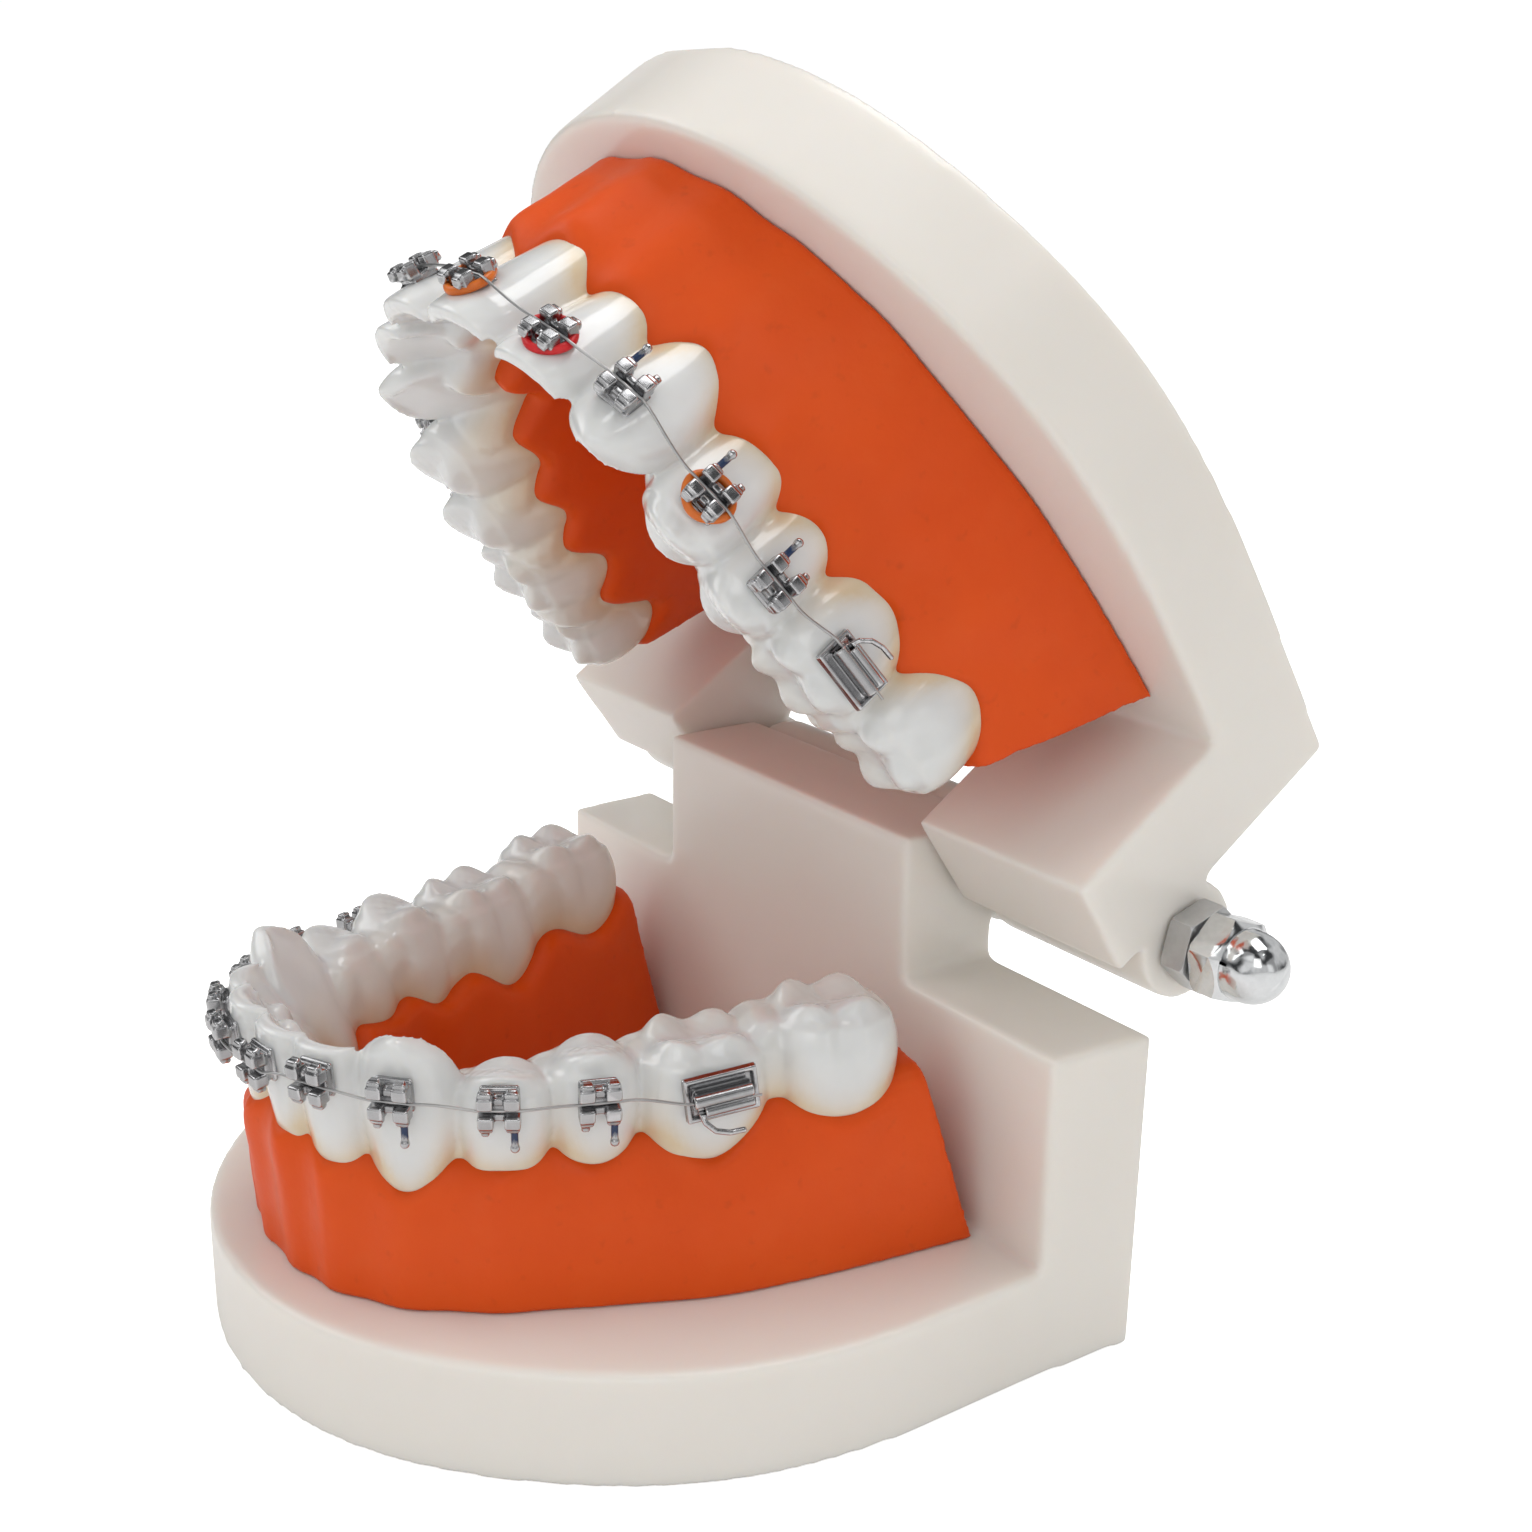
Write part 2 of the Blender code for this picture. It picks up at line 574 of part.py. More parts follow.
def bracket_frame(arch, side, index, jaw):
    """Pad's back centre, facing direction, direction along the arch, direction to the tip."""
    kind, x, y, angle, width, depth, gum, tip, flare = arch.teeth[index]
    a = math.radians(angle * side)
    n = Vector((math.sin(a), -math.cos(a), 0))
    t = Vector((math.cos(a), math.sin(a), 0))
    z = BRACKET_Z[jaw][index]
    k = (z - gum) / (tip - gum)
    shares = SECTIONS[kind]
    reach = np.interp(k, [s[0] for s in shares], [s[2] for s in shares]) * depth
    reach = max(reach, float(np.interp(k - 0.2, [s[0] for s in shares], [s[2] for s in shares])) * depth)
    f = reach + flare * k ** FLARE + PAD_STANDOFF
    tilt = math.atan(flare * FLARE * k ** (FLARE - 1) / abs(tip - gum))
    centre = Vector((x * side, y + arch.y_shift, z)) - n * (depth * 0.5) + n * f
    up = Vector((0, 0, float(arch.sign)))
    return centre, n * math.cos(tilt) - up * math.sin(tilt), t, up * math.cos(tilt) + n * math.sin(tilt)


def place_on(obj, centre, n, t, up):
    """Local X, Y, Z of a bracket along t, n and up; a left-handed set is turned over by X."""
    x = t if t.cross(n).dot(up) > 0 else -t
    m = Matrix.Identity(4)
    for row in range(3):
        m[row][0], m[row][1], m[row][2], m[row][3] = x[row], n[row], up[row], centre[row] * MM
    obj.matrix_local = m
    return x


def tube_along(name, points, radius, resolution):
    """A round wire along points, as a poly curve with filled caps, made a mesh."""
    curve = bpy.data.curves.new(name, "CURVE")
    curve.dimensions = "3D"
    curve.bevel_depth = radius * MM
    curve.bevel_resolution = resolution
    curve.use_fill_caps = True
    spline = curve.splines.new("POLY")
    spline.points.add(len(points) - 1)
    for p, q in zip(spline.points, points):
        p.co = (*(Vector(q) * MM), 1)
    obj = helper(name + "_path", curve)
    mesh = evaluated_mesh(obj, name)
    bpy.data.objects.remove(obj, do_unlink=True)
    bm = bmesh.new()
    bm.from_mesh(mesh)
    bmesh.ops.remove_doubles(bm, verts=bm.verts, dist=0.00001)
    mesh = mesh_from_bm(bm, name)
    smooth(mesh, 60)
    return mesh


def archwire_points(arch, jaw):
    """Straight through each slot, and smoothly from one to the next."""
    runs = []
    for side, order in ((-1, range(5, -1, -1)), (1, range(0, 6))):
        for i in order:
            centre, n, t, up = bracket_frame(arch, side, i, jaw)
            half = 1.75 if i < 5 else 2.3
            mid = centre + n * WIRE_DEPTH
            runs.append((mid - t * half, mid + t * half, t))
    points = []
    for j, (a, b, t) in enumerate(runs):
        if j:
            p0, p1 = runs[j - 1][1], a
            d = (p1 - p0).length
            m0, m1 = runs[j - 1][2] * d, t * d
            for u in (0.33, 0.67):
                h = (2 * u ** 3 - 3 * u ** 2 + 1, u ** 3 - 2 * u ** 2 + u, -2 * u ** 3 + 3 * u ** 2, u ** 3 - u ** 2)
                points.append(p0 * h[0] + m0 * h[1] + p1 * h[2] + m1 * h[3])
        points.append(a)
        points.append(b)
    return points


def ring_mesh(name, major, minor):
    """An elastic ring: a torus about local Y."""
    bpy.ops.mesh.primitive_torus_add(major_radius=major * MM, minor_radius=minor * MM,
                                     major_segments=16, minor_segments=5, align="WORLD")
    made = bpy.context.object
    mesh = made.data
    mesh.name = name
    mesh.transform(Matrix.Rotation(math.pi / 2, 4, "X"))
    bpy.data.objects.remove(made, do_unlink=True)
    smooth(mesh, 80)
    return mesh


# ------------------------------------------------------------------ hinge hardware
def turned_mesh(name, profile, steps):
    """A profile of (along X, radius), turned about local X with a Screw modifier."""
    bm = bmesh.new()
    verts = [bm.verts.new(Vector((x, r, 0)) * MM) for x, r in profile]
    for a, b in zip(verts, verts[1:]):
        bm.edges.new((a, b))
    flat = bpy.data.meshes.new(name + "_profile")
    bm.to_mesh(flat)
    bm.free()
    obj = helper(name + "_turned", flat)
    mod = obj.modifiers.new("turn", "SCREW")
    mod.axis = "X"
    mod.steps = mod.render_steps = steps
    mod.use_merge_vertices = True
    mod.merge_threshold = 0.000001
    mesh = evaluated_mesh(obj, name)
    bpy.data.objects.remove(obj, do_unlink=True)
    bm = bmesh.new()
    bm.from_mesh(mesh)
    bmesh.ops.remove_doubles(bm, verts=bm.verts, dist=0.000001)
    return mesh_from_bm(bm, name)


def hex_nut_mesh(name, across_flats, length, blind):
    """Local X is the axis, from 0 outwards; a cap nut is blind and has a dome."""
    corner = across_flats / math.sqrt(3)
    hexagon = x_cylinder("hex", corner, 0, CAP_HEX if blind else length, 0, 0, 6)
    if not blind:
        return combined(name, hexagon, [("DIFFERENCE", x_cylinder("bore", BORE_R, -5, 10, 0, 0, 16))])
    r = across_flats * 0.46
    shoulder = CAP_HEX + 0.8
    profile = [(CAP_HEX - 0.6, 0.0), (CAP_HEX - 0.6, r), (shoulder, r)]
    for k in range(1, 5):
        a = math.radians(90 * k / 5)
        profile.append((shoulder + (length - shoulder) * math.sin(a), r * math.cos(a)))
    profile.append((length, 0.0))
    return combined(name, hexagon, [
        ("UNION", turned_mesh("dome", profile, 18)),
        ("DIFFERENCE", x_cylinder("bore", BORE_R, -5, length - 1.5, 0, 0, 16)),
    ])


# ------------------------------------------------------------------ build
clear_scene()
PARTS = collection("typodont_model")
CUTTERS = collection("cutters", hidden=True)

IVORY = (0.86, 0.83, 0.77)
CORAL = (0.72, 0.12, 0.03)
ENAMEL = (0.88, 0.89, 0.87)
STEEL = (0.62, 0.63, 0.65)

pivot = bpy.data.objects.new("upper_jaw_pivot", None)
PARTS.objects.link(pivot)
pivot.location = Vector((0, REAR_Y + AXIS_BACK, AXIS_Z)) * MM
pivot.rotation_euler = (-math.radians(OPEN_DEG), 0, 0)

add_object("lower_base", lower_base_mesh(), PARTS, material("lower_base_plastic", IVORY, 0.28))
add_object("upper_base", upper_base_mesh(), PARTS, material("upper_base_plastic", IVORY, 0.28), pivot)

lower_arch = Arch(LOWER_TEETH, LOWER_END, LOWER_FOOT, LOWER_PAPILLA, 1, REAR_Y)
upper_arch = Arch(UPPER_TEETH, UPPER_END, UPPER_FOOT, UPPER_PAPILLA, -1, 0.0)

add_object("lower_teeth", teeth_mesh("lower_teeth", lower_arch), PARTS, material("lower_teeth_enamel", ENAMEL, 0.2))
add_object("upper_teeth", teeth_mesh("upper_teeth", upper_arch), PARTS, material("upper_teeth_enamel", ENAMEL, 0.2), pivot)

lower_floor = PLATE_T + GAP
upper_floor = UP_TOP - UP_PLATE_T - GAP
add_object("lower_gum", gum_mesh("lower_gum", lower_arch, lower_floor, LOWER_END_SLOPE,
                                 teeth_mesh("lower_sockets", lower_arch, 8, GAP)),
           PARTS, material("lower_gum_plastic", CORAL, 0.42))
add_object("upper_gum", gum_mesh("upper_gum", upper_arch, upper_floor, UPPER_END_SLOPE,
                                 teeth_mesh("upper_sockets", upper_arch, 8, GAP),
                                 palate=palate_mesh(upper_arch, upper_floor)),
           PARTS, material("upper_gum_plastic", CORAL, 0.42), pivot)

bracket_plain = bracket_mesh("bracket_plain")
bracket_hooks = {h: bracket_mesh("bracket_hook_a" if h > 0 else "bracket_hook_b", h) for h in (-1, 1)}
tubes = {h: tube_mesh("tube_a" if h > 0 else "tube_b", h) for h in (-1, 1)}
for jaw, arch, parent in (("lower", lower_arch, None), ("upper", upper_arch, pivot)):
    for side, side_name in ((1, "left"), (-1, "right")):
        for i, tooth in enumerate(TOOTH_NAMES):
            centre, n, t, up = bracket_frame(arch, side, i, jaw)
            x_dir = t if t.cross(n).dot(up) > 0 else -t
            distal = t * side                                # away from the midline
            behind = 1 if x_dir.dot(distal) > 0 else -1      # the wing that looks to the back
            hook = behind * arch.sign                        # lower hooks sit on it, upper hooks on the other
            if i < 2:
                mesh, name = bracket_plain, f"bracket_{jaw}_{tooth}_{side_name}"
            elif i < 5:
                mesh, name = bracket_hooks[hook], f"bracket_{jaw}_{tooth}_{side_name}"
            else:
                mesh, name = tubes[-behind], f"tube_{jaw}_{tooth}_{side_name}"
            mesh = mesh.copy()
            mesh.materials.clear()
            obj = add_object(name, mesh, PARTS, material(name + "_steel", STEEL, 0.3, 1.0), parent)
            place_on(obj, centre, n, t, up)
    add_object(f"archwire_{jaw}", tube_along(f"archwire_{jaw}", archwire_points(arch, jaw), WIRE_R, 0),
               PARTS, material(f"archwire_{jaw}_steel", (0.7, 0.7, 0.7), 0.25, 1.0), parent)

for index, tooth, colour in ((0, "central", (0.85, 0.30, 0.02)), (1, "lateral", (0.75, 0.02, 0.03)),
                             (3, "premolar1", (0.85, 0.30, 0.02))):
    name = f"elastic_upper_{tooth}_left"
    ring = add_object(name, ring_mesh(name, 1.86, 0.17), PARTS, material(name + "_rubber", colour, 0.5), pivot)
    centre, n, t, up = bracket_frame(upper_arch, 1, index, "upper")
    place_on(ring, centre + n * 0.65, n, t, up)

for side, side_name in ((1, "left"), (-1, "right")):
    jam = add_object(f"jam_nut_{side_name}", hex_nut_mesh("jam_nut", JAM_AF, JAM_T, False), PARTS,
                     material(f"jam_nut_{side_name}_zinc", (0.45, 0.46, 0.48), 0.4, 1.0), pivot)
    cap = add_object(f"cap_nut_{side_name}", hex_nut_mesh("cap_nut", CAP_AF, CAP_LEN, True), PARTS,
                     material(f"cap_nut_{side_name}_chrome", (0.75, 0.76, 0.78), 0.12, 1.0), pivot)
    for obj, start, turn in ((jam, HALF_WIDTH + 0.2, 12), (cap, HALF_WIDTH + 0.2 + JAM_T + GAP, 38)):
        smooth(obj.data, 30)
        obj.location = (side * start * MM, 0, 0)
        obj.rotation_euler = (math.radians(turn), 0, 0 if side > 0 else math.pi)
rod_half = HALF_WIDTH + 0.2 + JAM_T + GAP + CAP_LEN - 1.9
add_object("hinge_rod", x_cylinder("hinge_rod", ROD_R, -rod_half, rod_half, 0, 0, 16), PARTS,
           material("hinge_rod_steel", (0.55, 0.56, 0.58), 0.35, 1.0), pivot)
smooth(bpy.data.objects["hinge_rod"].data, 40)
bpy.context.view_layer.update()
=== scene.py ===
"""Typodont model: the finished look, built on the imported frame. Metres, +Z up; dimensions below are in mm."""
import bpy, bmesh, math, json
import numpy as np
from mathutils import Vector, Matrix, noise

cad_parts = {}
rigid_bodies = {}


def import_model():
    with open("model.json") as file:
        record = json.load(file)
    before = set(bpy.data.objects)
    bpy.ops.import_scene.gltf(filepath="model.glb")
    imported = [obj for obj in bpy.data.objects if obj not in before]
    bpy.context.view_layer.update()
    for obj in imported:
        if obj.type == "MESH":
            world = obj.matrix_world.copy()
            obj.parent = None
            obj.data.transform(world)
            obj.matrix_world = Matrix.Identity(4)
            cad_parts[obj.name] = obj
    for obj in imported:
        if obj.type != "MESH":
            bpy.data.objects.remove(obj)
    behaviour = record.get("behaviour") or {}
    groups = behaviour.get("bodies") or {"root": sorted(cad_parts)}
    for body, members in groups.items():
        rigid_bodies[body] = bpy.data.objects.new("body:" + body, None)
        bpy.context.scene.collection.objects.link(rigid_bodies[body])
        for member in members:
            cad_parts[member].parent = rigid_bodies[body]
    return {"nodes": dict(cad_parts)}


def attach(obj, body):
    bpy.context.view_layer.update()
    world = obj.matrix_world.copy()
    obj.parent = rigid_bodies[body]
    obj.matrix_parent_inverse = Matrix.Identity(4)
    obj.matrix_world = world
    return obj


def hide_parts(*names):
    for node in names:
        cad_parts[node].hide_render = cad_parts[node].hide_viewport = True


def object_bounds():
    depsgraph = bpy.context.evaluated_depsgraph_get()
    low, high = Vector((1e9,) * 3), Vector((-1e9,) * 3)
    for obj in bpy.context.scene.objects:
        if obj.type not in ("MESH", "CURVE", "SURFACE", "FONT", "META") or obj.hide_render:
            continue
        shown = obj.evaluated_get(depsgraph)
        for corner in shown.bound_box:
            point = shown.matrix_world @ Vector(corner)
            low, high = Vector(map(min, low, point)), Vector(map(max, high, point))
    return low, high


for _o in list(bpy.data.objects):
    bpy.data.objects.remove(_o, do_unlink=True)
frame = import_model()
CAD_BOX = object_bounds()
BOX_LOW, BOX_HIGH = np.array(CAD_BOX[0], float), np.array(CAD_BOX[1], float)
MM = 0.001

# ---------------------------------------------------------------- dimensions (mm), as in the frame
HALF_WIDTH, REAR_Y, PLATE_T, WALL_T, WALL_TOP = 32.5, 27.0, 8.3, 8.6, 24.4
POST_HALF, POST_TOP, AXIS_BACK, AXIS_Z, BOSS_R, BORE_R = 15.7, 35.4, 2.9, 30.8, 4.3, 1.8
OPEN_DEG = 55.7
UP_REAR, UP_WALL_T, UP_WALL_END, UP_TOP, UP_PLATE_T = -2.8, 8.3, -5.8, 16.9, 8.4
SLOT_HALF, SLOT_TOP = 16.2, 5.3
LOWER_OUTLINE = (31.95, (31.75, 31.1, 30.9, 31.8, 32.3))
UPPER_OUTLINE = (33.0, (33.0, 32.9, 32.75, 33.7, 34.3))
OUTLINE_CENTRE, OUTLINE_SIDE = -22.0, -11.0
GAP = 0.3

LOWER_TEETH = (
    ("incisor", 2.7, -51.5, 7, 5.5, 5.6, 19.4, 26.8, 1.3),
    ("incisor", 6.7, -50.0, 25, 5.3, 5.8, 18.3, 26.6, 1.4),
    ("canine", 11.1, -46.5, 43, 7.0, 6.8, 16.8, 27.8, 2.0),
    ("premolar", 15.3, -41.3, 57, 6.5, 7.0, 18.7, 25.5, 1.8),
    ("premolar", 17.6, -35.6, 68, 6.5, 7.6, 18.5, 26.3, 1.4),
    ("molar", 20.45, -28.4, 73, 9.2, 9.0, 18.0, 26.4, 0.7),
    ("molar", 23.2, -19.1, 76, 9.2, 9.0, 19.7, 27.6, 0.2),
)
LOWER_PAPILLA = (20.7, 20.2, 18.9, 18.9, 19.6, 19.9, 21.2, 21.8)
LOWER_END = (25.3, -9.4)
LOWER_FOOT = (-0.5, -0.5, 0.0, 0.6, 0.5, 1.0, 1.5, 0.9, 0.2)
LOWER_END_SLOPE = 3.6
UPPER_TEETH = (
    ("incisor", 3.6, -56.2, 8, 7.3, 6.2, -0.8, -10.2, 2.1),
    ("incisor", 9.3, -52.8, 28, 6.6, 6.0, -1.5, -10.2, 2.5),
    ("canine", 13.85, -48.6, 44, 7.3, 6.9, -0.6, -11.0, 2.6),
    ("premolar", 17.3, -42.3, 58, 6.9, 7.4, -2.4, -11.2, 2.5),
    ("premolar", 19.25, -36.5, 67, 6.5, 7.8, -2.5, -11.2, 2.2),
    ("molar", 22.0, -30.2, 73, 8.6, 8.7, -2.2, -10.4, 1.2),
    ("molar", 24.6, -22.5, 76, 8.4, 8.5, -1.2, -9.1, 0.5),
)
UPPER_PAPILLA = (-2.6, -2.7, -3.0, -3.3, -3.9, -4.2, -4.3, -3.6)
UPPER_END = (27.0, -14.4)
UPPER_FOOT = (-0.4, -0.3, 0.9, 1.6, 3.2, 4.0, 4.0, 2.8, 0.8)
UPPER_END_SLOPE = 3.4
BRACKET_Z = {"lower": (24.6, 24.9, 24.4, 24.2, 23.9, 23.1), "upper": (-7.4, -7.6, -7.1, -7.8, -8.0, -7.3)}
# how far a bracket sits off its tooth's middle line, towards the back: (jaw, tooth, side)
BRACKET_SHIFT = {("upper", 0, 1): -0.6, ("upper", 0, -1): 0.7, ("upper", 2, 1): -0.7, ("upper", 4, 1): 0.5, ("upper", 5, 1): 1.0, ("upper", 5, -1): 1.0,
                 ("lower", 5, 1): 0.4, ("lower", 5, -1): 0.4,
                 ("lower", 1, 1): 0.6, ("lower", 2, 1): 0.1}
FAR_DROP = {"lower": (-0.2, -0.5, -0.6, -0.75, -0.9, -0.9), "upper": (0.0, 0.5, 0.3, 0.3, 0.3, 0.3)}
FLARE = 1.7                                                # how late along its height a crown flares out
TOOTH_NAMES = ("central", "lateral", "canine", "premolar1", "premolar2", "molar1")
PAD_STANDOFF, WIRE_DEPTH = 0.22, 1.35
JAM_T, JAM_AF, CAP_AF, CAP_HEX, CAP_LEN = 2.0, 5.5, 5.5, 2.4, 5.6

UPPER_FRAME = (Matrix.Translation(Vector((0, REAR_Y + AXIS_BACK, AXIS_Z)) * MM)
               @ Matrix.Rotation(-math.radians(OPEN_DEG), 4, "X"))
IDENTITY = Matrix.Identity(4)
BODY = {"lower": "lower_jaw", "upper": "upper_jaw"}
PLACE = {"lower": IDENTITY, "upper": UPPER_FRAME}


# ---------------------------------------------------------------- mesh helpers
def link(obj):
    bpy.context.scene.collection.objects.link(obj)
    return obj


def mesh_of(bm, name):
    bmesh.ops.recalc_face_normals(bm, faces=bm.faces)
    mesh = bpy.data.meshes.new(name)
    bm.to_mesh(mesh)
    bm.free()
    return mesh


def through(mesh, name, *modifiers):
    """The mesh after a chain of modifiers, each (type, settings)."""
    obj = link(bpy.data.objects.new(name + "_work", mesh))
    for kind, settings in modifiers:
        mod = obj.modifiers.new(kind, kind)
        for key, value in settings.items():
            setattr(mod, key, value)
    bpy.context.view_layer.update()
    made = bpy.data.meshes.new_from_object(obj.evaluated_get(bpy.context.evaluated_depsgraph_get()))
    made.name = name
    bpy.data.objects.remove(obj, do_unlink=True)
    return made


def boolean_chain(name, mesh, steps):
    obj = link(bpy.data.objects.new(name + "_stock", mesh))
    tools = []
    for i, (operation, other) in enumerate(steps):
        tool = link(bpy.data.objects.new(f"{name}_tool{i}", other))
        tools.append(tool)
        mod = obj.modifiers.new(f"step{i}", "BOOLEAN")
        mod.operation, mod.solver, mod.object = operation, "EXACT", tool
    bpy.context.view_layer.update()
    made = bpy.data.meshes.new_from_object(obj.evaluated_get(bpy.context.evaluated_depsgraph_get()))
    made.name = name
    for o in tools + [obj]:
        bpy.data.objects.remove(o, do_unlink=True)
    return made


def voxelled(mesh, name, size, passes, factor=0.5, keep=1.0):
    """One closed skin round everything in mesh, its edges softened."""
    steps = [("REMESH", {"mode": "VOXEL", "voxel_size": size * MM, "adaptivity": 0.0})]
    if passes:
        steps.append(("SMOOTH", {"factor": factor, "iterations": passes}))
    if keep < 1.0:
        steps.append(("DECIMATE", {"ratio": keep}))
    made = through(mesh, name, *steps)
    bm = bmesh.new()
    bm.from_mesh(made)
    left, skins = set(bm.verts), []
    while left:
        todo, skin = [left.pop()], []
        while todo:
            v = todo.pop()
            skin.append(v)
            for e in v.link_edges:
                o = e.other_vert(v)
                if o in left:
                    left.remove(o)
                    todo.append(o)
        skins.append(skin)
    skins.sort(key=len)
    small = [v for skin in skins[:-1] if len(skin) < 0.02 * len(skins[-1]) for v in skin]
    bmesh.ops.delete(bm, geom=small, context="VERTS")
    bm.to_mesh(made)
    bm.free()
    made.shade_smooth()
    return made


def box(lo, hi, name="box"):
    bm = bmesh.new()
    bmesh.ops.create_cube(bm, size=1.0)
    for v in bm.verts:
        v.co = Vector([(lo[i] + hi[i]) / 2 + v.co[i] * (hi[i] - lo[i]) for i in range(3)]) * MM
    return mesh_of(bm, name)


def x_cylinder(radius, x0, x1, y, z, segments=64, name="cylinder"):
    bm = bmesh.new()
    bmesh.ops.create_cone(bm, cap_ends=True, segments=segments, radius1=radius * MM, radius2=radius * MM,
                          depth=(x1 - x0) * MM)
    bmesh.ops.transform(bm, matrix=Matrix.Translation(Vector(((x0 + x1) / 2, y, z)) * MM)
                        @ Matrix.Rotation(math.pi / 2, 4, "Y"), verts=bm.verts)
    return mesh_of(bm, name)


def prism(points, z0, z1, name="prism"):
    bm = bmesh.new()
    low = [bm.verts.new((x * MM, y * MM, z0 * MM)) for x, y in points]
    high = [bm.verts.new((x * MM, y * MM, z1 * MM)) for x, y in points]
    bm.faces.new(low[::-1])
    bm.faces.new(high)
    for i in range(len(points)):
        j = (i + 1) % len(points)
        bm.faces.new((low[i], low[j], high[j], high[i]))
    return mesh_of(bm, name)


def joined(name, meshes):
    bm = bmesh.new()
    for m in meshes:
        bm.from_mesh(m)
    return mesh_of(bm, name)


def turned(profile, steps, name="turned"):
    """(along X, radius) turned about X, closed."""
    bm = bmesh.new()
    rings = []
    for x, r in profile:
        if r < 1e-6:
            rings.append([bm.verts.new(Vector((x, 0, 0)) * MM)])
        else:
            rings.append([bm.verts.new(Vector((x, r * math.cos(2 * math.pi * j / steps),
                                               r * math.sin(2 * math.pi * j / steps))) * MM) for j in range(steps)])
    for a, b in zip(rings, rings[1:]):
        for j in range(steps):
            k = (j + 1) % steps
            loop = [a[j % len(a)], a[k % len(a)], b[k % len(b)], b[j % len(b)]]
            seen = []
            for v in loop:
                if v not in seen:
                    seen.append(v)
            if len(seen) > 2:
                bm.faces.new(seen)
    return mesh_of(bm, name)


def piece(name, mesh, jaw, materials, node=None, placed=False):
    """Adds a finished piece on its jaw's body, in place of its CAD node."""
    if not placed:
        mesh.transform(PLACE[jaw])
    at = np.empty(len(mesh.vertices) * 3)
    mesh.vertices.foreach_get("co", at)
    at = np.clip(at.reshape(-1, 3), BOX_LOW, BOX_HIGH)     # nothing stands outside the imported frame
    mesh.vertices.foreach_set("co", at.ravel())
    mesh.update()
    obj = link(bpy.data.objects.new(name, mesh))
    mesh.materials.clear()
    for m in materials:
        mesh.materials.append(m)
    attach(obj, BODY[jaw])
    if node:
        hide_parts(node)
    return obj


# ---------------------------------------------------------------- curves
def natural_spline(knots, values):
    knots = np.asarray(knots, float)
    values = np.asarray(values, float)
    if values.ndim == 1:
        values = values[:, None]
    n = len(knots)
    h = np.diff(knots)
    system = np.zeros((n, n))
    right = np.zeros((n, values.shape[1]))
    system[0, 0] = system[-1, -1] = 1.0
    for i in range(1, n - 1):
        system[i, i - 1:i + 2] = h[i - 1], 2 * (h[i - 1] + h[i]), h[i]
        right[i] = 6 * ((values[i + 1] - values[i]) / h[i] - (values[i] - values[i - 1]) / h[i - 1])
    second = np.linalg.solve(system, right)

    def at(s):
        s = np.atleast_1d(np.asarray(s, float))
        i = np.clip(np.searchsorted(knots, s) - 1, 0, n - 2)
        t0, t1 = (knots[i + 1] - s)[:, None], (s - knots[i])[:, None]
        hi = h[i][:, None]
        return (second[i] * t0 ** 3 + second[i + 1] * t1 ** 3) / (6 * hi) \
            + (values[i] / hi - second[i] * hi / 6) * t0 + (values[i + 1] / hi - second[i + 1] * hi / 6) * t1
    return at


def smoothstep(a, b, x):
    t = np.clip((np.asarray(x, float) - a) / (b - a), 0, 1)
    return t * t * (3 - 2 * t)


def d_outline(shape, samples):
    side, radii = shape
    half = [(HALF_WIDTH, 0.0), (side, OUTLINE_SIDE)]
    for r, deg in zip(radii, (0, 22.5, 45, 67.5, 90)):
        a = math.radians(deg)
        half.append((r * math.cos(a), OUTLINE_CENTRE - r * math.sin(a)))
    full = np.array(half + [(-x, y) for x, y in half[-2::-1]])
    knots = np.concatenate([[0], np.cumsum(np.linalg.norm(np.diff(full, axis=0), axis=1))])
    return natural_spline(knots, full)(np.linspace(0, knots[-1], samples))


